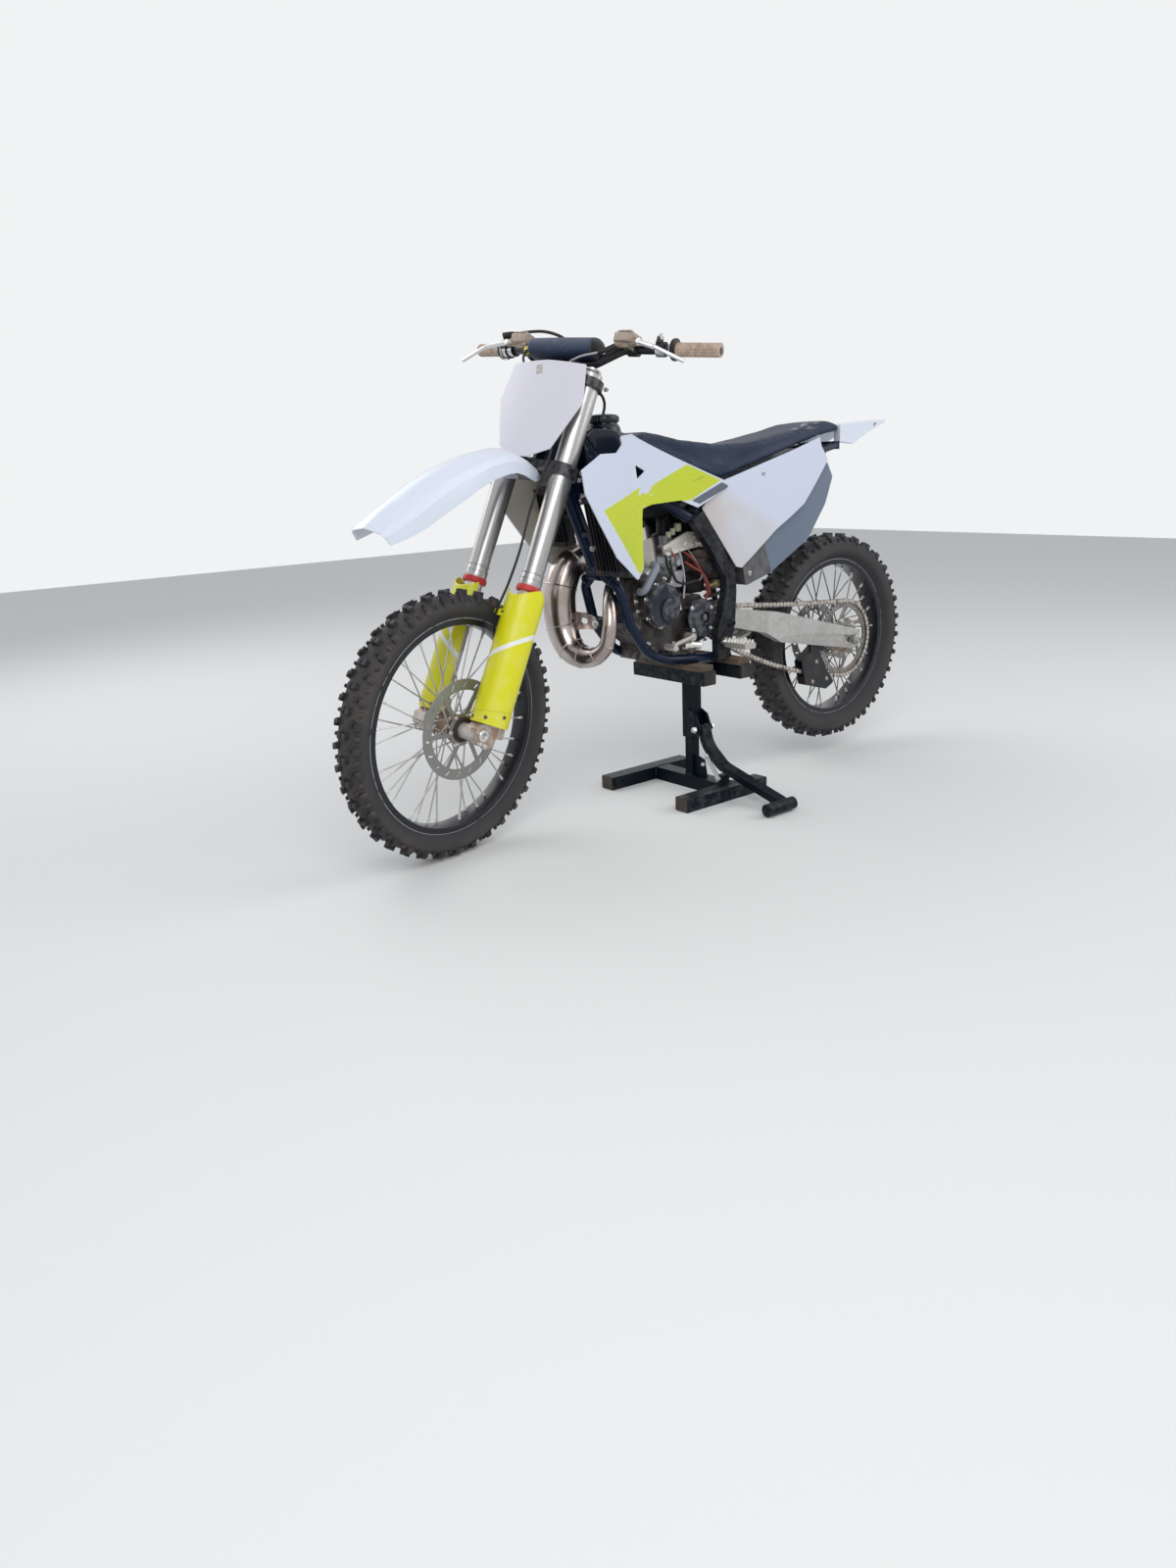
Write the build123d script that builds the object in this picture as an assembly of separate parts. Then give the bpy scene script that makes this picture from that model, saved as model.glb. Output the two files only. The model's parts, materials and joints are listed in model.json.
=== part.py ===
from build123d import *
import os
from math import atan2, cos, pi, radians, sin

os.makedirs("parts", exist_ok=True)

# A two-stroke motocross bike held by its frame on a lift stand, in millimetres.
# X points forward, Y to the rider's left and Z up. The origin is on the floor
# under the stand's column, in the bike's centre plane.

# Driving dimensions

CLEAR = 0.3                  # gap between a piece and its seat
REAR_AXLE = (-620.0, 385.0)
RAKE = 24.23                 # steering axis from the vertical
AXIS_TO_AXLE = 57.0          # front axle ahead of the steering axis
PARKED_TURN = 11.7           # steering turned to the left as it stands
LEG_SPACING = 192.0
LEG_OFFSET = 22.0            # fork legs ahead of the steering axis

FRONT_TYRE_TALL = 67.5       # from the rim's edge to the top of the knobs
FRONT_TYRE_WIDTH = 88.0
FRONT_RIM_RADIUS = 279.0
FRONT_TYRE_RADIUS = FRONT_RIM_RADIUS + FRONT_TYRE_TALL
FRONT_AXLE = (864.3, FRONT_TYRE_RADIUS + 0.6)  # X and Z with the steering straight
FRONT_RIM_WIDTH = 52.0
REAR_TYRE_TALL = 82.0
REAR_TYRE_WIDTH = 112.0
REAR_RIM_RADIUS = 254.0
REAR_TYRE_RADIUS = REAR_RIM_RADIUS + REAR_TYRE_TALL
REAR_RIM_WIDTH = 66.0
KNOB_TALL = 13.0
KNOB_SHARE = 0.34            # of the pitch between knobs
SHOULDER_DROP = 13.0         # shoulder knobs lower than the middle ones
SPOKE_COUNT = 36
SPOKE_SIDE = 3.6

STAND_TOP = 385.0
PAD_THICK = 8.0
BEAM_WIDE = 50.0
BEAM_TALL = 40.0
BEAM_WALL = 3.0
FOOT_Y = 165.0

CHAIN_Y = 72.0
CHAIN_PITCH = 15.875
FRONT_TEETH = 13
REAR_TEETH = 48
COUNTERSHAFT = (25.0, 530.0)
PIVOT = (-52.0, 507.0)

FRAME_TUBE = 14.0            # radius of the cradle tubes
CRADLE_Y = 75.0
CRANK = (195.0, 584.0)
REACH = 1500.0               # past the whole machine, for outlines that meet

# Steering frame: local X ahead of the axis, local Z up along it

rake = radians(RAKE)
AHEAD = Vector(cos(rake), 0, sin(rake))
ALONG = Vector(-sin(rake), 0, cos(rake))
STEER_FOOT = Vector(FRONT_AXLE[0], 0, FRONT_AXLE[1]) - AHEAD * AXIS_TO_AXLE
STEER = Plane(origin=STEER_FOOT, x_dir=AHEAD, z_dir=ALONG)
SIDE = Plane.XZ
HALF_LEGS = LEG_SPACING / 2


def side_slab(points, y_from, y_to, corner=0):
    """A side outline of X and Z points, as thick as from y_from to y_to."""
    flat = make_face(Polyline(*points, close=True))
    if corner:
        flat = fillet(flat.vertices(), corner)
    return Pos(0, y_to, 0) * (SIDE * extrude(flat, y_to - y_from))


def plan_slab(points, z_from, z_to, corner=0):
    """An outline seen from above, as tall as from z_from to z_to."""
    flat = make_face(Polyline(*points, close=True))
    if corner:
        flat = fillet(flat.vertices(), corner)
    return Pos(0, 0, z_from) * extrude(flat, z_to - z_from)


def band(points, wall):
    """The outline of a wall that follows points, wall thick towards lower Y."""
    return list(points) + [(x, y - wall) for x, y in reversed(points)]


def arcs(points):
    """Arcs end to end, each through three points that follow one another."""
    return [ThreePointArc(*points[i:i + 3]) for i in range(0, len(points) - 2, 2)]


def bent_sheet(points, wall, step=(0, -1)):
    """A sheet that stands up, bent along arcs seen from above, wall thick along step."""
    moved = [(x + step[0] * wall, y + step[1] * wall) for x, y in points]
    edges = arcs(points) + [Line(points[-1], moved[-1])] + arcs(moved) + [Line(moved[0], points[0])]
    return extrude(make_face(Wire(edges)), REACH)


def tube(points, radius, bend, wall=0):
    """A round tube along straight runs with rounded corners."""
    if len(points) == 2:
        path = Line(points[0], points[1])
    else:
        path = FilletPolyline(*points, radius=bend)
    start = Vector(*points[0])
    run = Vector(*points[1]) - start
    section = Circle(radius)
    if wall:
        section -= Circle(radius - wall)
    return sweep(Plane(origin=start, z_dir=run) * section, path=path)


def rod(start, end, radius, radius_end=None):
    """A round bar, or a cone when it ends in another radius."""
    start, end = Vector(*start), Vector(*end)
    long = (end - start).length
    place = Plane(origin=start, z_dir=end - start).location
    align = (Align.CENTER, Align.CENTER, Align.MIN)
    if radius_end is None:
        return place * Cylinder(radius, long, align=align)
    return place * Cone(radius, radius_end, long, align=align)


def both(shape):
    """A shape on the left with its mirror image on the right."""
    return [shape, mirror(shape, Plane.XZ)]


def solids_of(pieces):
    """All solids of a list of shapes, as one compound."""
    found = []
    for piece in pieces:
        found += piece.solids()
    return Compound(children=found)


def steered(shape):
    """From the steering frame to the object's frame, turned as it is parked."""
    return STEER.location * (Rot(0, 0, PARKED_TURN) * shape)


def turned_ring(profile, axle):
    """A profile of radius and Y revolved about an axle that lies along Y."""
    flat = make_face(Polyline(*profile, close=True))
    return Pos(axle[0], 0, axle[1]) * revolve(flat, Axis.Y)


parts = {}


# Lift stand

tube_inner = 30.0
sleeve_wall = 5.0
sleeve_side = tube_inner + 2 * CLEAR + 2 * sleeve_wall
sleeve_low = 158.0
beam_low = STAND_TOP - BEAM_TALL
foot_front, foot_rear = 205.0, -125.0
platform_half = 150.0
front_beam_x, rear_beam_x = 72.5, -80.0

feet = [
    Pos((foot_front + foot_rear) / 2, side * FOOT_Y, BEAM_TALL / 2)
    * (Box(foot_front - foot_rear, BEAM_WIDE, BEAM_TALL)
       - Box(foot_front - foot_rear, BEAM_WIDE - 2 * BEAM_WALL, BEAM_TALL - 2 * BEAM_WALL))
    for side in (-1, 1)
]
cross_long = 2 * FOOT_Y - BEAM_WIDE
cross = Pos(0, 0, BEAM_TALL / 2) * Box(BEAM_WIDE, cross_long, BEAM_TALL)
column_top = beam_low - 12
column = Pos(0, 0, (BEAM_TALL + column_top) / 2) * (
    Box(tube_inner, tube_inner, column_top - BEAM_TALL)
    - Box(tube_inner - 2 * BEAM_WALL, tube_inner - 2 * BEAM_WALL, column_top - BEAM_TALL))
link_low = (131.0, 52.0)     # Y and Z of the link's lower pin
link_high = (84.0, 113.0)
post = Pos(0, link_low[0], (BEAM_TALL + link_low[1] + 10) / 2) * Box(
    24, 26, link_low[1] + 10 - BEAM_TALL)
gusset_face = make_face(Polyline((tube_inner / 2, BEAM_TALL), (62, BEAM_TALL),
                                 (52, 92), (tube_inner / 2, 104), close=True))
gusset = Pos(-4, 0, 0) * (Plane.YZ * extrude(gusset_face, 8))
base = feet[0] + feet[1] + cross + column + post + gusset

sleeve = Pos(0, 0, (sleeve_low + beam_low) / 2) * (
    Box(sleeve_side, sleeve_side, beam_low - sleeve_low)
    - Box(sleeve_side - 2 * sleeve_wall, sleeve_side - 2 * sleeve_wall, beam_low - sleeve_low))
beams = [
    Pos(x, 0, STAND_TOP - BEAM_TALL / 2)
    * (Box(BEAM_WIDE, 2 * platform_half, BEAM_TALL)
       - Box(BEAM_WIDE - 2 * BEAM_WALL, 2 * platform_half, BEAM_TALL - 2 * BEAM_WALL))
    for x in (front_beam_x, rear_beam_x)
]
joiner_long = front_beam_x - rear_beam_x - BEAM_WIDE
joiner = Pos((front_beam_x + rear_beam_x) / 2, 0, STAND_TOP - BEAM_TALL / 2) * Box(
    joiner_long, BEAM_WIDE, BEAM_TALL)
lever_pivot = (46.0, 190.0)
cheek_gap = sleeve_side
cheek_thick = 5.0
cheek_points = [(sleeve_side / 2 - 14, 162), (56, 172), (60, 192), (44, 232), (sleeve_side / 2 - 14, 250)]
cheek_face = make_face(Polyline(*cheek_points, close=True))
cheeks = [Pos(x, 0, 0) * (Plane.YZ * extrude(cheek_face, cheek_thick))
          for x in (-cheek_gap / 2 - cheek_thick, cheek_gap / 2)]
pads = [Pos(x, 0, STAND_TOP + PAD_THICK) * Box(BEAM_WIDE, 2 * platform_half - 20, 2 * PAD_THICK)
        for x in (front_beam_x, rear_beam_x)]
platform = sleeve + beams[0] + beams[1] + joiner + cheeks[0] + cheeks[1]

lever_wide = 36.0
lever_thick = 20.0
pedal_centre = (27.0, 378.0, 21.0)
lever_line = [(0, 50, 204), (0, 66, 142), (0, 132, 88), (0, 232, 60), (0, 364, 24)]
lever_path = FilletPolyline(*lever_line, radius=[90, 70, 160])
lever_start = Plane(origin=lever_line[0], x_dir=(1, 0, 0),
                    z_dir=Vector(*lever_line[1]) - Vector(*lever_line[0]))
lever = sweep(lever_start * Rectangle(lever_wide, lever_thick), path=lever_path)
pedal = rod((pedal_centre[0] - 55, *pedal_centre[1:]), (pedal_centre[0] + 55, *pedal_centre[1:]), 18)
pedal += rod((0, 352, 26), (0, 370, 22), 9)
pin_radius = 6.0
pivot_pin = rod((-cheek_gap / 2 - 14, *lever_pivot), (cheek_gap / 2 + 14, *lever_pivot), pin_radius)

link_x = lever_wide / 2 + 2
link_run = Vector(0, link_high[0] - link_low[0], link_high[1] - link_low[1])
links = []
for x in (-link_x - 3, link_x):
    bar = Plane(origin=(x, *link_low), x_dir=(1, 0, 0), z_dir=link_run).location * Box(
        3, 16, link_run.length + 12, align=(Align.MIN, Align.CENTER, Align.CENTER))
    links.append(Pos(0, link_run.Y / 2, link_run.Z / 2) * bar)
link_pins = [rod((-link_x - 5, *p), (link_x + 5, *p), 4) for p in (link_low, link_high)]
parts["stand_links"] = links[0] + links[1] + link_pins[0] + link_pins[1]
parts["stand_lever"] = lever + pedal - link_pins[1] - pivot_pin
parts["stand_base"] = base - link_pins[0]
parts["stand_platform"] = platform + pivot_pin


# Frame

head_low, head_high = 713.0, 900.0
head_radius = 29.0
down_radius = 20.0


def on_axis(along, ahead=0, y=0):
    """A point in the object's frame, given along and ahead of the steering axis."""
    return STEER_FOOT + ALONG * along + AHEAD * ahead + Vector(0, y, 0)


split = Vector(352, 0, 688)
head = rod(on_axis(head_low), on_axis(head_high), head_radius)
stem_bore = rod(on_axis(head_low - 5), on_axis(head_high + 5), head_radius - 6)
down = rod(on_axis(head_low + 40, -head_radius + 8), split, down_radius)
gusset_points = [(on_axis(870, -20).X, on_axis(870, -20).Z), (on_axis(740, -20).X, on_axis(740, -20).Z),
                 (408, 880), (400, 960)]
head_gusset = side_slab(gusset_points, -9, 9)
saddle = Pos(*split) * Rot(90, 0, 0) * Cylinder(26, 34)
spine_solid = head + down + head_gusset + saddle
parts["frame_spine"] = spine_solid - stem_bore

cradle_line = [(352, 10, 686), (336, CRADLE_Y - 2, 644), (304, CRADLE_Y + 4, 536),
               (240, CRADLE_Y + 2, 452), (168, CRADLE_Y, 424), (10, CRADLE_Y, 409), (-80, CRADLE_Y, 409)]
cradle = tube(cradle_line, FRAME_TUBE, [30, 60, 90, 200, 200]) - spine_solid
chamber_mount = Vector(308, 12, 548)        # on the bar between the rails
mount_face = 372.0
cradle_bar = rod((chamber_mount.X, -CRADLE_Y, chamber_mount.Z), (chamber_mount.X, CRADLE_Y, chamber_mount.Z), 8)
cradle_bar += rod(chamber_mount, (mount_face - CLEAR, chamber_mount.Y, chamber_mount.Z), 11)
parts["frame_cradle"] = cradle + mirror(cradle, Plane.XZ) + cradle_bar
for rail in both(cradle):
    pads = [pad - rail for pad in pads]
parts["stand_pads"] = solids_of(pads)

upright_rear = [(56, 832), (-8, 744), (-74, 648), (-76, 597), (-70, 507), (-44, 406)]
upright_front = [(0, 406), (2, 492), (-18, 540), (-34, 600), (-32, 640), (30, 728), (96, 806)]
upright_y = (CRADLE_Y + FRAME_TUBE + CLEAR, CRADLE_Y + FRAME_TUBE + 26)
pivot_radius = 9.0
upright = side_slab(upright_rear + upright_front, *upright_y, corner=5)
upright -= rod((PIVOT[0], 60, PIVOT[1]), (PIVOT[0], 140, PIVOT[1]), pivot_radius + CLEAR)
shock_low, shock_high = Vector(-135, 0, 425), Vector(-36, 0, 850)
cross_tube = rod((60, -upright_y[0] - 1, 812), (60, upright_y[0] + 1, 812), 13)
shock_hanger = side_slab([(70, 822), (50, 800), (-46, 836), (-50, 862), (-24, 868)], -15, 15)
uprights = upright + mirror(upright, Plane.XZ) + cross_tube + shock_hanger

spar_radius = 15.0
spar_line = [tuple(on_axis(858, -24, 18)), (360, 60, 935), (150, 82, 850), (92, 90, 815)]
spar = tube(spar_line, spar_radius, [120, 60]) - spine_solid - upright - cross_tube
parts["frame_spars"] = solids_of(both(spar))


# Running gear at the rear

arm_top = [(-30, 540), (-100, 540), (-256, 516), (-648, 414)]
arm_low = [(-640, 352), (-276, 420), (-209, 457), (-90, 488), (-30, 478)]
arm_plan = [(-20, 84), (-120, 84), (-210, 112), (-400, 120), (-660, 120),
            (-660, 92), (-400, 92), (-260, 84), (-150, 62), (-20, 58)]
arm = side_slab(arm_top + arm_low, 0, REACH, corner=8) & plan_slab(arm_plan, 0, REACH)
arm_slope, slot_tall = -12.0, 22.0
slot = Pos(REAR_AXLE[0] + 2, 0, REAR_AXLE[1]) * Rot(0, arm_slope, 0) * (
    SIDE * extrude(SlotOverall(64, slot_tall), REACH, both=True))
arm -= slot
crease_front, crease_rear = Vector(-190, 121, 470), Vector(-560, 121, 413)
crease_run = (crease_rear - crease_front).normalized()
lean_in = Vector(0, cos(radians(16)), -sin(radians(16)))
arm -= Plane(origin=crease_front, x_dir=crease_run, z_dir=lean_in - crease_run * lean_in.dot(crease_run)) * (
    Pos(160, 0, 0) * Box(640, 240, 60, align=(Align.CENTER, Align.CENTER, Align.MIN)))
arm_bridge = side_slab([(-192, 520), (-250, 512), (-256, 462), (-196, 468)], -95, 95, corner=8)
pivot_half = CRADLE_Y + FRAME_TUBE
pivot_tube = rod((PIVOT[0], -pivot_half, PIVOT[1]), (PIVOT[0], pivot_half, PIVOT[1]), 24)
pivot_bolt = rod((PIVOT[0], -upright_y[1] - 4, PIVOT[1]), (PIVOT[0], upright_y[1] + 4, PIVOT[1]), pivot_radius)
window = side_slab([(-566, 408), (-590, 402), (-584, 384), (-560, 392)], 112, REACH, corner=3)
window += side_slab([(-566, 382), (-590, 376), (-582, 366), (-562, 370)], 112, REACH, corner=3)
arm -= window
swingarm = arm + mirror(arm, Plane.XZ) + arm_bridge + pivot_tube + pivot_bolt
parts["swingarm"] = swingarm

axle_radius = 12.5
axle = rod((REAR_AXLE[0], -132, REAR_AXLE[1]), (REAR_AXLE[0], 132, REAR_AXLE[1]), axle_radius - 2)
for side in (-1, 1):
    axle += Pos(REAR_AXLE[0], side * 126, REAR_AXLE[1]) * Rot(90, 0, 0) * Cylinder(16, 8)
    axle += Pos(REAR_AXLE[0] + 2, side * 106, REAR_AXLE[1]) * Rot(0, arm_slope, 0) * Box(38, 26, slot_tall - 2 * CLEAR)
parts["rear_axle"] = axle


def pitch_radius(teeth):
    """Radius of the circle on which a chain's pins lie."""
    return CHAIN_PITCH / (2 * sin(pi / teeth))


front_pitch = pitch_radius(FRONT_TEETH)
rear_pitch = pitch_radius(REAR_TEETH)
chain_tall = 15.0
plate_gap = 7.5
plate_thick = 4.0
chain_sag = 34.0

span = Vector(COUNTERSHAFT[0] - REAR_AXLE[0], 0, COUNTERSHAFT[1] - REAR_AXLE[1])
slope = atan2(span.Z, span.X)
closing = (rear_pitch - front_pitch) / span.length
top_angle = slope + pi / 2 - closing
low_angle = slope - pi / 2 + closing - 0.09


def chain_outline(offset):
    """The chain's loop, moved out from its pins by offset."""
    rear_r, front_r = rear_pitch + offset, front_pitch + offset
    rear, front = Vector(*REAR_AXLE), Vector(*COUNTERSHAFT)
    top = Vector(cos(top_angle), sin(top_angle))
    low = Vector(cos(low_angle), sin(low_angle))
    low_front = Vector(cos(low_angle + 0.18), sin(low_angle + 0.18))
    r_top, r_low = rear + top * rear_r, rear + low * rear_r
    f_top, f_low = front + top * front_r, front + low_front * front_r
    middle = (r_low + f_low) * 0.5 + Vector(sin(slope), -cos(slope)) * chain_sag
    loop = [
        ThreePointArc(r_top, rear - Vector(1, 0) * rear_r, r_low),
        ThreePointArc(r_low, middle, f_low),
        ThreePointArc(f_low, front + Vector(1, 0) * front_r, f_top),
        Line(f_top, r_top),
    ]
    return make_face(Wire(loop))


def chain_ring(inner, outer, y_from, y_to):
    """The chain's loop between two offsets and two Y planes."""
    flat = chain_outline(outer) - chain_outline(inner)
    return Pos(0, y_to, 0) * (SIDE * extrude(flat, y_to - y_from))


plate_out = plate_gap / 2 + plate_thick
chain = chain_ring(-chain_tall / 2, chain_tall / 2, CHAIN_Y + plate_gap / 2, CHAIN_Y + plate_out)
chain += chain_ring(-chain_tall / 2, chain_tall / 2, CHAIN_Y - plate_out, CHAIN_Y - plate_gap / 2)
chain += chain_ring(3, 6, CHAIN_Y - plate_gap / 2, CHAIN_Y + plate_gap / 2)
parts["chain"] = chain


def sprocket(teeth, centre, bore):
    """A toothed disc that stays inside the chain's outer web."""
    pitch = pitch_radius(teeth)
    tip, root = pitch + 2, pitch - 5.5
    step = 2 * pi / teeth
    points = []
    for i in range(teeth):
        for part, radius in ((-0.32, root), (-0.1, tip), (0.1, tip), (0.32, root)):
            points.append((radius * cos((i + part) * step), radius * sin((i + part) * step)))
    disc = extrude(make_face(Polyline(*points, close=True)) - Circle(bore), 2.9, both=True)
    return Pos(centre[0], CHAIN_Y, centre[1]) * Rot(90, 0, 0) * disc


parts["front_sprocket"] = sprocket(FRONT_TEETH, COUNTERSHAFT, 10)

guide_outer = side_slab([(-470, 384), (-400, 340), (-420, 262), (-520, 234), (-560, 252), (-520, 300)],
                        CHAIN_Y - 16, CHAIN_Y + 16, corner=8)
guide_outer += side_slab([(-505, 362), (-440, 362), (-430, 414), (-500, 400)], CHAIN_Y + 12, 92 - CLEAR)
parts["chain_guide"] = guide_outer - (
    SIDE * Pos(0, 0, -CHAIN_Y - 11) * extrude(chain_outline(13) - chain_outline(-30), 22))

shock_run = shock_high - shock_low


def on_shock(share):
    return shock_low + shock_run * share


shock = rod(on_shock(0), on_shock(1), 11) + rod(on_shock(0.55), on_shock(0.95), 27)
for i in range(9):
    shock += rod(on_shock(0.26 + 0.045 * i), on_shock(0.282 + 0.045 * i), 31)
shock += rod((shock_low.X, -34, shock_low.Z), (shock_low.X, 34, shock_low.Z), 14)
for side in (-1, 1):
    shock += rod((shock_low.X, side * 28, shock_low.Z), (-224, side * 28, 454), 8)
parts["shock"] = shock - swingarm
parts["frame_uprights"] = uprights - shock


# Engine

cases_points = [(278, 560), (262, 500), (205, 455), (60, 446), (-6, 470), (-16, 550), (24, 596),
                (108, 604), (146, 658), (252, 660), (274, 620)]
cases = side_slab(cases_points, -62, 62, corner=12)
boss_left = Pos(CRANK[0], 62, CRANK[1]) * Rot(-90, 0, 0) * Cylinder(
    64, 24, align=(Align.CENTER, Align.CENTER, Align.MIN))
output = rod((COUNTERSHAFT[0], 62, COUNTERSHAFT[1]), (COUNTERSHAFT[0], CHAIN_Y + 14, COUNTERSHAFT[1]), 10 - CLEAR)
shifter_boss = rod((96, 62, 484), (96, 84, 484), 13)
cases += boss_left + output + shifter_boss
for x, z in ((58, 432), (206, 446)):
    cases += Pos(x, 0, z) * Box(24, 140, 44)
for rail in both(cradle):
    cases -= rail

cover_face = 62 + 24
ignition = Pos(CRANK[0], cover_face + CLEAR, CRANK[1]) * Rot(-90, 0, 0) * (
    Cylinder(59, 16, align=(Align.CENTER, Align.CENTER, Align.MIN))
    + Pos(-16, 14, 16) * Cylinder(33, 6, align=(Align.CENTER, Align.CENTER, Align.MIN)))

clutch_centre = (88.0, 566.0)
clutch = side_slab([(262, 600), (246, 520), (180, 470), (60, 462), (6, 500), (4, 600), (60, 640), (200, 652)],
                   -84, -62 - CLEAR, corner=20)
clutch += rod((clutch_centre[0], -84, clutch_centre[1]), (clutch_centre[0], -104, clutch_centre[1]), 72)
clutch += rod((212, -84, 548), (212, -112, 548), 30)
guard_y = CHAIN_Y + plate_out + 2
cover_points = [(-12, 488), (20, 474), (60, 480), (86, 508), (92, 546), (72, 582), (30, 586), (-8, 566)]
sprocket_cover = side_slab(cover_points, guard_y, guard_y + 6, corner=14)
sprocket_cover -= rod((COUNTERSHAFT[0], guard_y - 1, COUNTERSHAFT[1]), (COUNTERSHAFT[0], guard_y + 7, COUNTERSHAFT[1]), 17)
for x, z in ((74, 498), (78, 562)):
    sprocket_cover += rod((x, 62 + CLEAR, z), (x, guard_y + 2, z), 8)
sprocket_cover -= rod((96, 60, 484), (96, 100, 484), 13 + CLEAR)
parts["engine_covers"] = solids_of([ignition, clutch, sprocket_cover])

lean = radians(11)
cylinder_up = Vector(sin(lean), 0, cos(lean))
deck = Vector(CRANK[0], 0, CRANK[1]) + cylinder_up * 84


def up_bore(height, ahead=0, y=0):
    """A point at a height over the crankcase deck, along the cylinder's bore."""
    return deck + cylinder_up * height + Vector(cos(lean), 0, -sin(lean)) * ahead + Vector(0, y, 0)


bore_plane = Plane(origin=up_bore(0), x_dir=Vector(cos(lean), 0, -sin(lean)), z_dir=cylinder_up)
barrel = bore_plane.location * (Pos(0, 0, 9) * extrude(RectangleRounded(112, 104, 24), 87))
barrel += bore_plane.location * (Pos(0, 0, 96) * Cylinder(55, 34, align=(Align.CENTER, Align.CENTER, Align.MIN)))
barrel += rod(up_bore(130), up_bore(148), 8) + rod(up_bore(144), up_bore(176), 12)
barrel += rod(up_bore(112, 40, 0), up_bore(126, 74, 10), 15)
barrel += bore_plane.location * (Pos(46, 0, 58) * Box(44, 70, 44))
for angle in range(0, 360, 60):
    barrel += bore_plane.location * (Rot(0, 0, angle + 30) * Pos(45, 0, 128) * Cylinder(6, 10))
barrel += rod(up_bore(35, 50), up_bore(35, 75 - CLEAR), 24)
stay_outline = [(160, 740), (150, 712), (62, 726), (28, 728), (14, 744), (36, 772), (64, 774)]
stays = both(side_slab(stay_outline, 52, 60, corner=6) - side_slab([(136, 728), (74, 736), (66, 752), (128, 740)], 57, 61,
                                                                   corner=4))
barrel += stays[0] + stays[1] + rod((148, -60, 726), (148, 60, 726), 9)
barrel += rod((26, -60, 742), (26, 60, 742), 7) + side_slab([(216, 780), (222, 752), (150, 716), (138, 734)], -20, 20)
for side in (-1, 1):
    barrel += rod((24, side * 52, 738), (24, side * upright_y[0], 738), 8)
hose_radius, hose_face = 11.0, 66.0
head_spigot, case_spigot = (206, 694), (258, 626)
barrel += rod((head_spigot[0], 48, head_spigot[1]), (head_spigot[0], hose_face, head_spigot[1]), hose_radius - 1)
parts["cylinder"] = barrel - uprights
hose = tube([(head_spigot[0], hose_face + CLEAR, head_spigot[1]), (head_spigot[0], hose_face + 20, head_spigot[1]),
             (case_spigot[0], hose_face + 20, case_spigot[1]), (case_spigot[0], hose_face + CLEAR, case_spigot[1])],
            hose_radius, hose_radius + 3)
parts["coolant_hose"] = hose
parts["engine_cases"] = cases + rod((case_spigot[0], 60, case_spigot[1]), (case_spigot[0], hose_face, case_spigot[1]),
                                    hose_radius - 1)

carb_line = [up_bore(30, -50), (100, 0, 696), (64, 0, 700)]
carb = rod(carb_line[0], carb_line[1], 25) + rod(carb_line[1], carb_line[2], 30)
carb_body = rod((86, 0, 664), (94, 0, 738), 24) + rod((93, 0, 734), (96, 0, 764), 19)
carb_body += side_slab([(52, 664), (112, 664), (106, 622), (62, 618)], -28, 30, corner=5)
carb_body += rod((84, 20, 690), (84, 44, 690), 9) + rod((84, 0, 608), (84, 0, 624), 8)
parts["carburettor"] = carb + carb_body - barrel
boot_line = [(64 - CLEAR, 0, 700), (24, 2, 704), (-36, 60, 716), (-136, 60, 736)]
boot_radius = 27.0
boot = tube(boot_line, boot_radius, [44, 60])

pipe_stations = [            # X, Y, Z and radius along the expansion chamber
    (*up_bore(35, 75), 20), (*up_bore(32, 86), 20), (322, 24, 640, 20), (353, 51, 596, 20), (370, 68, 545, 20),
    (377, 60, 492, 21), (387, 28, 462, 25), (396, -18, 456, 32), (402, -64, 474, 39),
    (404, -94, 520, 44), (404, -106, 580, 46), (397, -108, 640, 46), (366, -106, 694, 45), (300, -98, 723, 43),
    (240, -101, 728, 42), (150, -118, 724, 37), (50, -150, 726, 30), (-30, -156, 734, 24), (-96, -146, 748, 20),
]
pipe_sections = []
for i, (x, y, z, radius) in enumerate(pipe_stations):
    before = pipe_stations[max(i - 1, 0)]
    after = pipe_stations[min(i + 1, len(pipe_stations) - 1)]
    run = Vector(*after[:3]) - Vector(*before[:3])
    pipe_sections.append(Plane(origin=(x, y, z), x_dir=Vector(0, 1, 0).cross(run), z_dir=run) * Circle(radius))
chamber = loft(pipe_sections, ruled=True)
bracket_outline = [(-100, 574), (-30, 575), (14, 564), (27, 548), (14, 533), (-40, 528), (-104, 520)]
bracket = Pos(mount_face, 0, 0) * (Plane.YZ * extrude(
    fillet(make_face(Polyline(*bracket_outline, close=True)).vertices(), 5)
    - Pos(-34, 552) * SlotOverall(30, 16) - Pos(chamber_mount.Y, chamber_mount.Z) * Circle(6), 4))
parts["exhaust_chamber"] = chamber + bracket - barrel

pipe_end = Vector(*pipe_stations[-1][:3])
pipe_run = (pipe_end - Vector(*pipe_stations[-2][:3])).normalized()
silencer_line = [pipe_end + pipe_run * CLEAR, pipe_end + pipe_run * 76, Vector(-545, -140, 872)]
silencer_run = silencer_line[2] - silencer_line[1]
can = Plane(origin=silencer_line[1], x_dir=Vector(0, 1, 0), z_dir=silencer_run).location * extrude(
    Ellipse(33, 48), silencer_run.length)
can += rod(silencer_line[0], silencer_line[1], 20, 30)
hanger_y = 89 + CLEAR
can += Pos(-330, -hanger_y - 22, 846) * Box(24, 28, 44) + Pos(-330, -hanger_y - 10, 900) * Box(24, 20, 110)
can -= Plane(origin=silencer_line[2], z_dir=-silencer_run).location * Cylinder(
    17, 60, align=(Align.CENTER, Align.CENTER, Align.MIN))
parts["silencer"] = can


# Bodywork

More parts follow.
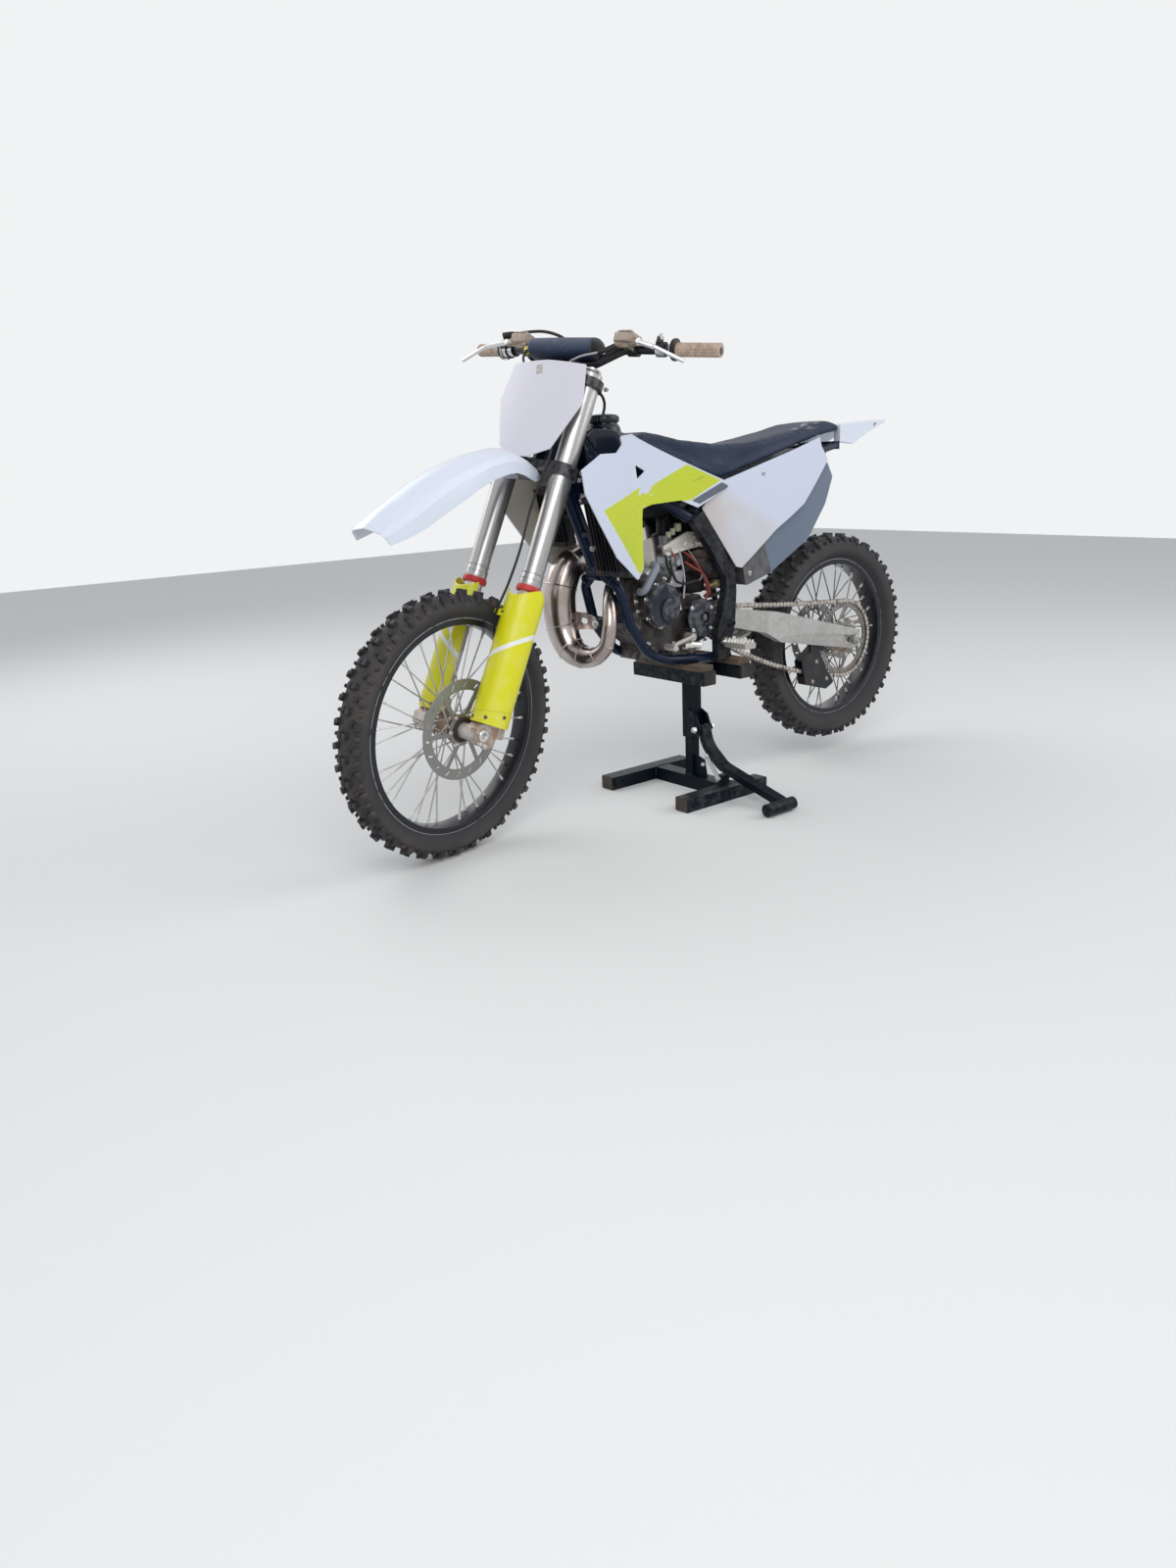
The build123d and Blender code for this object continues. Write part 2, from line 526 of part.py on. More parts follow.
tank_side = [(424, 1040), (392, 1066), (300, 1044), (180, 1000), (120, 940), (130, 880), (300, 850), (404, 900)]
tank_plan = [(440, 42), (440, -42), (330, -84), (120, -74), (120, 74), (330, 84)]
tank = side_slab(tank_side, -REACH, REACH, corner=14) & plan_slab(tank_plan, 0, REACH, corner=18)
cap_seat = (350.0, 1052.0)
tank += Pos(cap_seat[0], 0, cap_seat[1] - 6) * Cylinder(42, 28)
tank += Pos(cap_seat[0], 0, cap_seat[1] + 22) * Cylinder(35, 28)
for room in both(tube(spar_line, spar_radius + CLEAR, [120, 60])):
    tank -= room
tank -= rod(on_axis(head_low), on_axis(head_high), head_radius + 6) + side_slab(gusset_points, -12, 12)

radiator_tilt = 12
grille_rim = 14.0
LOUVRES = 7
radiator_sizes = ((1, 790, 206), (-1, 836, 158))     # side, middle height, height
radiators = []
for side, at, tall in radiator_sizes:
    core = Box(26, 94, tall) + Pos(15, 0, (tall - grille_rim) / 2) * Box(20, 94, grille_rim)
    core += Pos(15, 0, (grille_rim - tall) / 2) * Box(20, 94, grille_rim)
    for i in range(LOUVRES):
        core += Pos(17, (i - (LOUVRES - 1) / 2) * 94 / LOUVRES, 0) * Rot(0, 0, 24) * Box(20, 2.5, tall - 2)
    core = Pos(400, side * 106, at) * Rot(0, radiator_tilt, 0) * core
    core += Pos(402, side * 39, at) * Box(24, 44, 12)
    radiators.append(core - spine_solid)
parts["radiators"] = solids_of(radiators)

panel_wall = 4.0
shroud_outline = [(553, 958), (543, 900), (494, 826), (429, 736), (338, 670), (313, 699), (314, 826), (311, 853),
                  (271, 861), (150, 865), (80, 842), (-50, 893), (-28, 911), (320, 1028), (351, 1040), (402, 1035),
                  (394, 1015), (418, 995), (481, 994), (529, 970)]
shroud_plan = [(-90, 112), (40, 117), (160, 126), (260, 139), (350, 158), (455, 186), (570, 204)]
shroud_hole = [(339, 964), (296, 947), (332, 928)]
shroud = side_slab(shroud_outline, 0, REACH, corner=6) & bent_sheet(shroud_plan, panel_wall)
shroud -= side_slab(shroud_hole, 0, REACH, corner=3)
shroud += rod((410, 153 + CLEAR, 838), (410, 171, 838), 9)
parts["shroud_left"] = shroud
parts["shroud_right"] = mirror(shroud, Plane.XZ)

side_outline = [(-29, 908), (45, 838), (-12, 760), (-82, 666), (-103, 661), (-244, 760), (-373, 828), (-505, 951),
                (-463, 992), (-453, 1018), (-204, 955)]
right_outline = [(-29, 908), (45, 838), (6, 786), (-60, 792), (-180, 838), (-508, 927), (-505, 951)]
right_outline += side_outline[8:]
side_plan = [(-560, 76), (-450, 102), (-300, 117), (-120, 111.5), (70, 97)]
side_band = bent_sheet(side_plan, panel_wall)
panel_boss = rod((-190, 89 + CLEAR, 922), (-190, 114, 922), 9)
parts["side_panel_left"] = (side_slab(side_outline, 0, REACH, corner=6) & side_band) + panel_boss
right_panel = (side_slab(right_outline, 0, REACH, corner=6) & side_band) + panel_boss
parts["side_panel_right"] = mirror(right_panel, Plane.XZ) - can

box_outline = [(-512, 946), (-547, 899), (-506, 818), (-419, 721), (-243, 634), (-133, 605), (-118, 668),
               (-290, 800), (-420, 890)]
box_plan = [(-620, 62), (-520, 80), (-400, 92), (-130, 98), (-60, 98)]
air_side = side_slab(box_outline, 0, REACH, corner=8) & plan_slab(band(box_plan, 50), 0, REACH)
box_middle = [(-76, 870), (-124, 664), (-142, 652), (-250, 745), (-400, 862), (-520, 952), (-556, 980),
              (-463, 988), (-204, 930), (-92, 895)]
airbox = side_slab(box_middle, -52, 52, corner=8)
for piece in both(air_side):
    airbox += piece
parts["airbox"] = airbox
parts["intake_boot"] = boot - airbox - carb

seat_side = [(230, 1046), (165, 1036), (86, 1020), (-46, 1004), (-168, 1007), (-258, 1020), (-351, 1036),
             (-447, 1055), (-527, 1062), (-572, 1052), (-576, 1036), (-463, 1022), (-204, 960), (-43, 915), (57, 946),
             (274, 1030)]
seat_plan = [(300, 52), (160, 68), (0, 84), (-200, 100), (-420, 94), (-560, 80), (-590, 70)]
seat_plan = seat_plan + [(x, -y) for x, y in reversed(seat_plan)]
seat_prism = side_slab(seat_side, -REACH, REACH, corner=3)
parts["seat"] = seat_prism & plan_slab(seat_plan, 0, REACH)
parts["fuel_tank"] = tank - seat_prism - Pos(0, 0, -2) * seat_prism

fender_side = [(-577, 1052), (-860, 1066), (-866, 1060), (-745, 1030), (-655, 994), (-577, 1002)]
fender_plan = [(-460, 96), (-560, 80), (-640, 68), (-760, 56), (-866, 30)]
fender_plan = fender_plan + [(x, -y) for x, y in reversed(fender_plan)]
rear_fender = side_slab(fender_side, -REACH, REACH) & plan_slab(fender_plan, 0, REACH)
rear_fender -= side_slab([(-560, 985), (-560, 1040), (-800, 1056), (-700, 1000), (-600, 975)], -52, 52)
parts["rear_fender"] = rear_fender

rail_line = [(63, 78, 823), (-190, 78, 922), (-566, 66, 992)]
rail = tube(rail_line, 11, 200)
tail_bridge = Pos(-566, 0, 992) * Box(24, 150, 24)
parts["subframe"] = rail + mirror(rail, Plane.XZ) + tail_bridge - rear_fender - uprights


# Foot controls

peg_x, peg_z = -28.0, 452.0
peg = side_slab([(peg_x - 22, peg_z - 8), (peg_x + 22, peg_z - 8), (peg_x + 22, peg_z + 8), (peg_x - 22, peg_z + 8)],
                132, 215, corner=3)
peg += rod((peg_x, upright_y[1] + CLEAR, peg_z + 6), (peg_x, 136, peg_z + 6), 11)
parts["footpegs"] = solids_of(both(peg))

shifter = rod((96, 84 + CLEAR, 484), (96, 112, 484), 11) + rod((96, 106, 484), (200, 124, 470), 7)
shifter += rod((200, 108, 470), (200, 148, 470), 9)
parts["gear_lever"] = shifter
pedal_y = upright_y[1] + CLEAR
brake_pedal = rod((-14, -pedal_y, 484), (-14, -pedal_y - 18, 484), 12)
brake_pedal += rod((-14, -pedal_y - 10, 484), (190, -136, 474), 8)
brake_pedal += Pos(196, -130, 476) * Box(36, 34, 10)
parts["brake_pedal"] = brake_pedal
kicker = rod((40, -104 - CLEAR, 560), (40, -132, 560), 14) + rod((40, -124, 560), (60, -146, 664), 9)
parts["kick_starter"] = kicker + rod((60, -140, 668), (60, -196, 672), 10)


# Steering: triple clamps, fork, bars, front bodywork, in the steering frame

leg_x = LEG_OFFSET
clamp_low, clamp_high = 691.0, 918.0
clamp_thick = 30.0
outer_radius = 29.5
inner_radius = 24.0
seal_at = 386.0
cap_at = 950.0


def on_legs(piece):
    """A piece for both fork legs, given on the left one."""
    return [Pos(0, HALF_LEGS, 0) * piece, Pos(0, -HALF_LEGS, 0) * piece]


clamps = []
for at, tall in ((clamp_low, clamp_thick), (clamp_high, clamp_thick - 8)):
    outline = make_hull([e for y in (-HALF_LEGS, HALF_LEGS)
                         for e in (Pos(leg_x, y) * Circle(outer_radius + 8)).edges()]
                        + (Pos(0, 0) * Circle(32)).edges())
    clamp = Pos(0, 0, at - tall / 2) * extrude(outline, tall)
    for y in (-HALF_LEGS, HALF_LEGS):
        clamp -= Pos(leg_x, y, at) * Cylinder(outer_radius, tall + 2)
    clamps.append(clamp)
stem = Pos(0, 0, (clamp_low + clamp_high) / 2) * Cylinder(head_radius - 6 - 1, clamp_high - clamp_low)
bar_clamp_x, bar_clamp_z = 15.0, 972.0
risers = [Pos(bar_clamp_x, y, (clamp_high + bar_clamp_z) / 2 + 4) * Box(34, 24, bar_clamp_z - clamp_high)
          for y in (-40, 40)]
bar_hole = Pos(bar_clamp_x, 0, bar_clamp_z) * Rot(90, 0, 0) * Cylinder(12 + CLEAR, 140)
triple = clamps[0] + clamps[1] + stem + risers[0] + risers[1] - bar_hole
collars = ((clamp_low + clamp_thick / 2, head_low - CLEAR), (head_high + CLEAR, clamp_high - 11))
for low, high in collars:
    triple += Pos(0, 0, (low + high) / 2) * Cylinder(head_radius - 2, high - low)
plate_seat = 84.0
for at in (clamp_low + 9, clamp_high):
    triple += Pos((plate_seat + 50) / 2, 0, at) * Box(plate_seat - 50, 24, 8)

outer_profile = [(0, seal_at), (outer_radius - 1, seal_at), (outer_radius, seal_at + 14), (27, seal_at + 40),
                 (28.5, 600), (outer_radius, 660), (outer_radius, cap_at - 8), (24, cap_at), (0, cap_at)]
outer_leg = Pos(leg_x, 0, 0) * revolve(Plane.XZ * make_face(Polyline(*outer_profile, close=True)), Axis.Z)
parts["fork_outer_tubes"] = solids_of([steered(leg) for leg in on_legs(outer_leg)])

lug_low = -32.0
inner_leg = Pos(leg_x, 0, 26) * Cylinder(inner_radius, seal_at - 26 - CLEAR,
                                         align=(Align.CENTER, Align.CENTER, Align.MIN))
lug_outline = [(leg_x - 25, 70), (leg_x - 25, 26), (leg_x - 12, lug_low + 8), (AXIS_TO_AXLE - 12, lug_low + 6),
               (AXIS_TO_AXLE + 20, -14), (AXIS_TO_AXLE + 22, 14), (leg_x + 25, 40), (leg_x + 25, 70)]
lug = Pos(0, 20, 0) * (SIDE * extrude(fillet(make_face(Polyline(*lug_outline, close=True)).vertices(), 6), 40))
front_axle_radius = 11.0
lug -= Pos(AXIS_TO_AXLE, 0, 0) * Rot(90, 0, 0) * Cylinder(front_axle_radius, 80)
parts["fork_legs"] = solids_of([steered(leg) for leg in on_legs(inner_leg + lug)])

guard_top, guard_low = 384.0, 30.0
guard_radius, guard_wall = 49.0, 3.0


def guard_arc(radius):
    """The guard's curve round the leg, from behind its inner side to its outer side."""
    return [(leg_x + 1 + radius * cos(radians(a)), radius * sin(radians(a))) for a in (-62, 34, 130)]


outer_arc, inner_arc = guard_arc(guard_radius), guard_arc(guard_radius - guard_wall)
guard_section = make_face(Wire([ThreePointArc(*outer_arc), Line(outer_arc[2], inner_arc[2]),
                                ThreePointArc(*inner_arc), Line(inner_arc[0], outer_arc[0])]))
guard = Pos(0, 0, guard_low) * extrude(guard_section, guard_top - guard_low)
guard_ends = [(leg_x - 40, 78), (leg_x - 26, 20), (leg_x + 70, 8), (leg_x + 70, 322), (leg_x + 46, 360),
              (leg_x + 8, guard_top), (leg_x - 20, 366), (leg_x - 40, 326)]
guard_edges = [Line(guard_ends[i], guard_ends[i + 1]) for i in range(3)]
guard_edges += [ThreePointArc(*guard_ends[3:6]), ThreePointArc(*guard_ends[5:8]), Line(guard_ends[7], guard_ends[0])]
guard &= Pos(0, REACH, 0) * (SIDE * extrude(make_face(Wire(guard_edges)), 2 * REACH))
guard += rod((leg_x, 15, 56), (leg_x, guard_radius - guard_wall + 1, 56), 8) - inner_leg - lug
guards = [Pos(0, HALF_LEGS, 0) * guard, Pos(0, -HALF_LEGS, 0) * mirror(guard, Plane.XZ)]
parts["fork_guards"] = solids_of([steered(g) for g in guards])

bar_half = 405.0
grip_x, grip_z = -57.0, 1046.0
bar_half_line = [(bar_clamp_x, 0, bar_clamp_z), (bar_clamp_x, 84, bar_clamp_z), (-10, 152, 1026),
                 (grip_x, bar_half, grip_z)]
bar_line = [(x, -y, z) for x, y, z in reversed(bar_half_line[1:])] + bar_half_line[1:]
bar_bend = [50, 50, 50, 50]
bar = tube(bar_line, 12, bar_bend)
parts["handlebar"] = steered(bar)

pad_half = 117.0
pad = Pos(34, pad_half, 1004) * (SIDE * extrude(Ellipse(36, 27), 2 * pad_half))
parts["bar_pad"] = steered(pad - tube(bar_line, 12 + CLEAR, bar_bend) - risers[0] - risers[1])

grip_start = 292.0
grip_dir = Vector(*bar_half_line[3]) - Vector(*bar_half_line[2])


def on_bar(y):
    """A point on the left half of the bar, at the distance y from its middle."""
    share = (y - bar_half_line[2][1]) / grip_dir.Y
    return Vector(*bar_half_line[2]) + grip_dir * share


def on_mirror(y):
    """The same point on the right half of the bar."""
    point = on_bar(y)
    return Vector(point.X, -point.Y, point.Z)


grip = rod(on_bar(grip_start), on_bar(bar_half), 16.5) + rod(on_bar(grip_start - 6), on_bar(grip_start), 29)
grip -= rod(on_bar(grip_start - 20), on_bar(bar_half + 20), 12)
parts["grips"] = solids_of([steered(g) for g in both(grip)])

cylinder_in, cylinder_out = Vector(24, 148, 1024), Vector(14, 214, 1034)
left_control = rod(on_bar(164), on_bar(190), 18) + rod(cylinder_in, cylinder_out, 11)
left_control += side_slab([(-18, 1016), (26, 1014), (30, 1040), (-14, 1044)], 166, 188, corner=4)
left_control += side_slab([(2, 1030), (40, 1022), (42, 1046), (6, 1052)], 150, 200, corner=5)
left_control += rod(on_bar(240), on_bar(262), 18) + rod(on_bar(246) + Vector(10, 0, 10), on_bar(246) + Vector(10, 0, 26), 9)
left_control += rod((14, 204, 1034), (30, 222, 1026), 9)
lever_knee = Vector(44, 284, 1006)
lever_tips = (Vector(2, 352, 990), Vector(2, 400, 988))
levers = [rod((30, 218, 1026), lever_knee, 6) + rod(lever_knee, tip, 5) for tip in lever_tips]
right_control = mirror(left_control + levers[1], Plane.XZ)
left_control += levers[0]
right_control += rod(on_mirror(262), on_mirror(grip_start - 6 - CLEAR), 22)
right_control += Plane(origin=on_mirror(256) + Vector(16, 0, 14), z_dir=(0.3, 0.9, 0.3)).location * Cylinder(9, 34)
left_control -= bar
right_control -= bar
parts["bar_controls"] = solids_of([steered(left_control), steered(right_control)])

fender_stations = [          # ahead and along of the top, half width and depth of the sides
    (34, 690, 40, 30), (62, 690, 56, 44), (110, 696, 62, 52), (152, 694, 63, 56), (192, 678, 64, 58),
    (245, 646, 65, 62), (297, 606, 66, 70), (345, 564, 66, 78), (390, 515, 66, 78), (432, 460, 66, 74),
    (468, 410, 65, 62), (492, 368, 60, 44),
]
fender_wall = 3.0


def fender_face(half, deep):
    """The arched section of the front fender, open below."""
    outer = [(half, -deep), (0.96 * half, -0.5 * deep), (0.82 * half, -0.26 * deep), (0.45 * half, -6)]
    inner = [(half - fender_wall, -deep), (0.96 * half - fender_wall, -0.5 * deep),
             (0.82 * half - 2, -0.26 * deep - fender_wall), (0.45 * half, -6 - fender_wall)]
    top, under = [(0, 0)], [(0, -fender_wall)]
    ring = outer + top + [(-x, y) for x, y in reversed(outer)]
    ring += [(-x, y) for x, y in inner] + under + list(reversed(inner))
    return make_face(Polyline(*ring, close=True))


fender_sections = []
for i, (ahead, along, half, deep) in enumerate(fender_stations):
    before = fender_stations[max(i - 1, 0)]
    after = fender_stations[min(i + 1, len(fender_stations) - 1)]
    run = Vector(after[0] - before[0], 0, after[1] - before[1])
    section_plane = Plane(origin=(ahead, 0, along), x_dir=(0, 1, 0), z_dir=run)
    fender_sections.append(section_plane * fender_face(half, deep))
fender = loft(fender_sections, ruled=True)
for clamp in clamps:
    fender -= clamp
fender_seat = Pos(62, 0, 676) * Box(64, 40, 30) - fender
parts["front_fender"] = steered(fender)

plate_outline = [(-140, 850), (-119, 946), (0, 952), (119, 946), (140, 850), (86, 726), (22, 700), (-22, 700),
                 (-86, 726)]
plate_wall = 4.0
plate_curve = [(66, -150), (plate_seat, 0), (66, 150)]
plate = Plane(origin=(40, 0, 0), x_dir=(0, 1, 0), z_dir=(1, 0, 0)) * extrude(
    make_face(Polyline(*plate_outline, close=True)), 80)
plate &= bent_sheet(plate_curve, plate_wall, step=(1, 0))
parts["number_plate"] = steered(plate)
parts["triple_clamps"] = steered(triple + fender_seat - plate)

front_disc_y, front_disc_radius, disc_thick = 44.0, 130.0, 3.0
DISC_RING = 28.0
DISC_MIDDLE = 42.0
pad_gap = 2.0
caliper_outline = [(-70, 4), (-62, 78), (-38, 92), (-18, 84), (-22, 10), (-40, 0)]
caliper = Pos(0, 74, 0) * (SIDE * extrude(fillet(make_face(Polyline(*caliper_outline, close=True)).vertices(), 6), 44))
caliper += Pos(-14, 70, 40) * Box(40, 12 - 2 * CLEAR, 60)
caliper -= Pos(AXIS_TO_AXLE, front_disc_y, 0) * Rot(90, 0, 0) * Cylinder(
    front_disc_radius + pad_gap, disc_thick + 2 * pad_gap)
parts["front_brake"] = steered(caliper)

front_axle = Pos(AXIS_TO_AXLE, 0, 0) * Rot(90, 0, 0) * Cylinder(front_axle_radius - CLEAR, LEG_SPACING + 50)
parts["front_axle"] = steered(front_axle)


# Wheels

def knob_outline(radius, count, twist):
    """A tread band cut across: knobs on a lower ring, turned by twist pitches."""
    step = 2 * pi / count
    half = KNOB_SHARE / 2
    corners = ((-half, radius - KNOB_TALL), (-half, radius), (half, radius), (half, radius - KNOB_TALL))
    points = [(r * cos((i + twist + part) * step), r * sin((i + twist + part) * step))
              for i in range(count) for part, r in corners]
    return make_face(Polyline(*points, close=True))


def tread(radius, half_width, count):
    """A middle band of knobs and, half a pitch on, a band on each shoulder."""
    middle = half_width * 0.36
    core = radius - KNOB_TALL - SHOULDER_DROP - 7
    bands = Pos(0, middle, 0) * (SIDE * extrude(knob_outline(radius, count, 0), 2 * middle))
    for side in (1, -1):
        near = Plane(origin=(0, side * middle, 0), x_dir=(1, 0, 0), z_dir=(0, -1, 0)) * knob_outline(
            radius, count, 0.5)
        far = Plane(origin=(0, side * half_width, 0), x_dir=(1, 0, 0), z_dir=(0, -1, 0)) * knob_outline(
            radius - SHOULDER_DROP, count, 0.5)
        bands += loft([near, far], ruled=True)
    return bands - Rot(90, 0, 0) * Cylinder(core, 4 * half_width)


def wheel(name, tyre_radius, tyre_width, knob_count, rim_radius, rim_width, hub_radius, hub_half):
    """Tyre, rim, spokes and hub about the Y axis."""
    half_tyre, half_rim = tyre_width / 2, rim_width / 2
    crown = tyre_radius - KNOB_TALL - SHOULDER_DROP
    bead = rim_radius - 12
    tyre_profile = [(bead, half_rim - 6), (rim_radius + 4, half_rim - 2), (rim_radius + 22, half_tyre - 3),
                    (crown - 6, half_tyre - 1)]
    tyre_profile += [(r, -y) for r, y in reversed(tyre_profile)]
    well = rim_radius - 17
    rim_profile = [(rim_radius, half_rim), (rim_radius, half_rim - 3), (bead - CLEAR, half_rim - 4), (well, 12),
                   (well, -12), (bead - CLEAR, 4 - half_rim), (rim_radius, 3 - half_rim), (rim_radius, -half_rim),
                   (bead - 5, -half_rim), (well - 4, -14), (well - 4, 14), (bead - 5, half_rim)]
    flange = hub_half - 6
    hub_profile = [(front_axle_radius, -hub_half), (22, -hub_half), (24, -flange), (hub_radius, -flange),
                   (hub_radius, 5 - flange), (22, 8 - flange), (18, 0), (22, flange - 8), (hub_radius, flange - 5),
                   (hub_radius, flange), (24, flange), (22, hub_half), (front_axle_radius, hub_half)]
    centre = (0, 0)
    carcass = turned_ring(tyre_profile, centre)
    made = {name + "_tyre": carcass + tread(tyre_radius, half_tyre, knob_count), name + "_rim": turned_ring(rim_profile, centre)}
    spokes = []
    count = SPOKE_COUNT // 4
    inner, outer = hub_radius - 4, well - 4 - CLEAR
    for side in (1, -1):
        for lead in (1, -1):
            for i in range(count):
                at_hub = 2 * pi * (i + (0.25 if side > 0 else 0)) / count
                at_rim = at_hub + lead * radians(48)
                offset = SPOKE_SIDE / 2 + 3 * CLEAR
                y_hub = side * (flange + offset if lead > 0 else flange - 5 - offset)
                y_rim = side * (11 if lead > 0 else 6)
                start = (inner * cos(at_hub), y_hub, inner * sin(at_hub))
                end = (outer * cos(at_rim), y_rim, outer * sin(at_rim))
                run = Vector(*end) - Vector(*start)
                bar = Plane(origin=start, z_dir=run).location * Box(
                    SPOKE_SIDE, SPOKE_SIDE, run.length, align=(Align.CENTER, Align.CENTER, Align.MIN))
                spokes.append(bar)
    made[name + "_spokes"] = solids_of(spokes)
    made[name + "_hub"] = turned_ring(hub_profile, centre)
    return made


def disc_brake(radius, y):
    """A brake disc about the Y axis: a slotted ring on swept arms from its middle."""
    disc = Cylinder(radius, disc_thick) - Cylinder(radius - DISC_RING, disc_thick)
    disc += Cylinder(DISC_MIDDLE, disc_thick)
    arm_long = radius - DISC_RING - DISC_MIDDLE + 12
    for i in range(6):
        disc += Rot(0, 0, 60 * i) * Pos(DISC_MIDDLE - 6, 0, 0) * Rot(0, 0, 18) * Pos(arm_long / 2, 0, 0) * Box(
            arm_long, 11, disc_thick)
        for turn in (8, 28, 48):
            disc -= Rot(0, 0, 60 * i + turn) * Pos(radius - DISC_RING / 2, 0, 0) * Rot(0, 0, 35) * Box(
                16, 5, 2 * disc_thick)
    disc -= Cylinder(22, 2 * disc_thick)
    return Pos(0, y, 0) * Rot(90, 0, 0) * disc


front_wheel = wheel("front", FRONT_TYRE_RADIUS, FRONT_TYRE_WIDTH, 36, FRONT_RIM_RADIUS, FRONT_RIM_WIDTH, 36, 34)
front_wheel["front_hub"] += disc_brake(front_disc_radius, front_disc_y)
front_wheel["front_hub"] += Pos(0, (34 + front_disc_y) / 2, 0) * Rot(90, 0, 0) * (
    Cylinder(34, front_disc_y - 34) - Cylinder(front_axle_radius, front_disc_y))
for name, shape in front_wheel.items():
    parts[name] = steered(Pos(AXIS_TO_AXLE, 0, 0) * Rot(0, -RAKE, 0) * shape)

rear_wheel = wheel("rear", REAR_TYRE_RADIUS, REAR_TYRE_WIDTH, 32, REAR_RIM_RADIUS, REAR_RIM_WIDTH, 40, 46)
rear_disc_y, rear_disc_radius = -52.0, 110.0
rear_wheel["rear_hub"] += disc_brake(rear_disc_radius, rear_disc_y)
rear_wheel["rear_hub"] += Pos(0, (-46 + rear_disc_y) / 2, 0) * Rot(90, 0, 0) * (
    Cylinder(36, -46 - rear_disc_y) - Cylinder(front_axle_radius, 20))
rear_wheel["rear_hub"] += Pos(0, (46 + CHAIN_Y - 3) / 2, 0) * Rot(90, 0, 0) * (
    Cylinder(44, CHAIN_Y - 3 - 46) - Cylinder(front_axle_radius, 40))
rear_wheel["rear_sprocket"] = sprocket(REAR_TEETH, (0, 0), 42)
for name, shape in rear_wheel.items():
    parts[name] = Pos(REAR_AXLE[0], 0, REAR_AXLE[1]) * shape

rear_caliper = Pos(REAR_AXLE[0] + 98, -57, REAR_AXLE[1] + 26) * Box(64, 36, 44)
rear_caliper += Pos(REAR_AXLE[0] + 98, -83, REAR_AXLE[1] + 26) * Box(50, 18 - 2 * CLEAR, 26)
rear_caliper -= Pos(REAR_AXLE[0], rear_disc_y, REAR_AXLE[1]) * Rot(90, 0, 0) * Cylinder(
    rear_disc_radius + pad_gap, disc_thick + 2 * pad_gap)
parts["rear_brake"] = rear_caliper

for name, shape in parts.items():
    export_step(shape, "parts/" + name + ".step")
print(len(parts), "pieces")
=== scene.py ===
from math import cos, pi, radians, sin

import bmesh
import bpy
import numpy as np
from mathutils import Matrix, Vector
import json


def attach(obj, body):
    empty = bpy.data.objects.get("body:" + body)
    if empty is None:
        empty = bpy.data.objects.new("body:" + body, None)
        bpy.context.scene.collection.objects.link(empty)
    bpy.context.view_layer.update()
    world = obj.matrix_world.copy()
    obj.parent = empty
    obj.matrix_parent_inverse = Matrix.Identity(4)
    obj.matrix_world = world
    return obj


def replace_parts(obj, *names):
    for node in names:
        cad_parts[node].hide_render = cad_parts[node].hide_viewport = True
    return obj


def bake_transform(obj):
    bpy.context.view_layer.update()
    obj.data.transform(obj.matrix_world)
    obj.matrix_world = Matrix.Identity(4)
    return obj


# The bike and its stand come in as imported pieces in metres: +X towards the front
# wheel, +Y to the rider's left, +Z up, with the floor at Z = 0.

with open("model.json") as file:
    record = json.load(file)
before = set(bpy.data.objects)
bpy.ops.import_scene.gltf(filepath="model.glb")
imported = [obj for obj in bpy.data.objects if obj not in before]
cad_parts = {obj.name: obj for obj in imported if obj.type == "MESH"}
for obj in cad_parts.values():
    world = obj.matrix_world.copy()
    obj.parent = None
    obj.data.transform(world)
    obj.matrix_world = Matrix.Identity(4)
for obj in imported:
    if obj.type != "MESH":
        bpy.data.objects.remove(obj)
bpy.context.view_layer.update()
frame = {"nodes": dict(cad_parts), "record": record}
body_of = {node: body for body, nodes in frame["record"]["behaviour"]["bodies"].items() for node in nodes}


# Studio
#
# A pale floor and three soft lamps round the bike, and a camera a metre above the
# floor, ahead of the front wheel and to its left.

def aim(thing, place, forward, roll=0.0):
    """Sets a lamp or camera at place, looking along forward and rolled about it."""
    forward = Vector(forward).normalized()
    right = forward.cross(Vector((0, 0, 1))).normalized()
    up = right.cross(forward)
    turned_right = right * cos(roll) + up * sin(roll)
    turned_up = up * cos(roll) - right * sin(roll)
    thing.matrix_world = Matrix.Translation(place) @ Matrix(
        (turned_right, turned_up, -forward)).transposed().to_4x4()


photo_height, focal_pixels = 1600, 1149.6
yaw, pitch, roll = radians(231.505), radians(16.268), radians(-2.37)
camera = bpy.data.objects.new("camera", bpy.data.cameras.new("camera"))
bpy.context.collection.objects.link(camera)
camera.data.sensor_width = 36.0
camera.data.lens = 36.0 * focal_pixels / photo_height
aim(camera, (2.3305, 2.4106, 0.9932), (cos(yaw) * cos(pitch), sin(yaw) * cos(pitch), -sin(pitch)), roll)
bpy.context.scene.camera = camera
bpy.context.scene.view_settings.view_transform = "Standard"

lamp_places = (  # place, size in metres, watts
    ((2.6, 2.9, 3.2), 2.6, 78.0),
    ((-2.6, 2.6, 2.8), 2.8, 50.0),
    ((1.0, -3.2, 3.0), 2.8, 46.0),
)
for number, (place, size, watts) in enumerate(lamp_places):
    lamp = bpy.data.lights.new("softbox_%d" % number, "AREA")
    lamp.size, lamp.energy = size, watts
    holder = bpy.data.objects.new(lamp.name, lamp)
    bpy.context.collection.objects.link(holder)
    aim(holder, place, Vector((0.1, 0.0, 0.5)) - Vector(place))


def plug(socket, value):
    """Links a socket to another one, or sets it to a number or colour."""
    if isinstance(value, bpy.types.NodeSocket):
        socket.id_data.links.new(value, socket)
    elif socket.type == "RGBA" and len(value) == 3:
        socket.default_value = (*value, 1)
    else:
        socket.default_value = value


def tree_of(values):
    """The node tree of the first link among values."""
    return next(value.id_data for value in values if isinstance(value, bpy.types.NodeSocket))


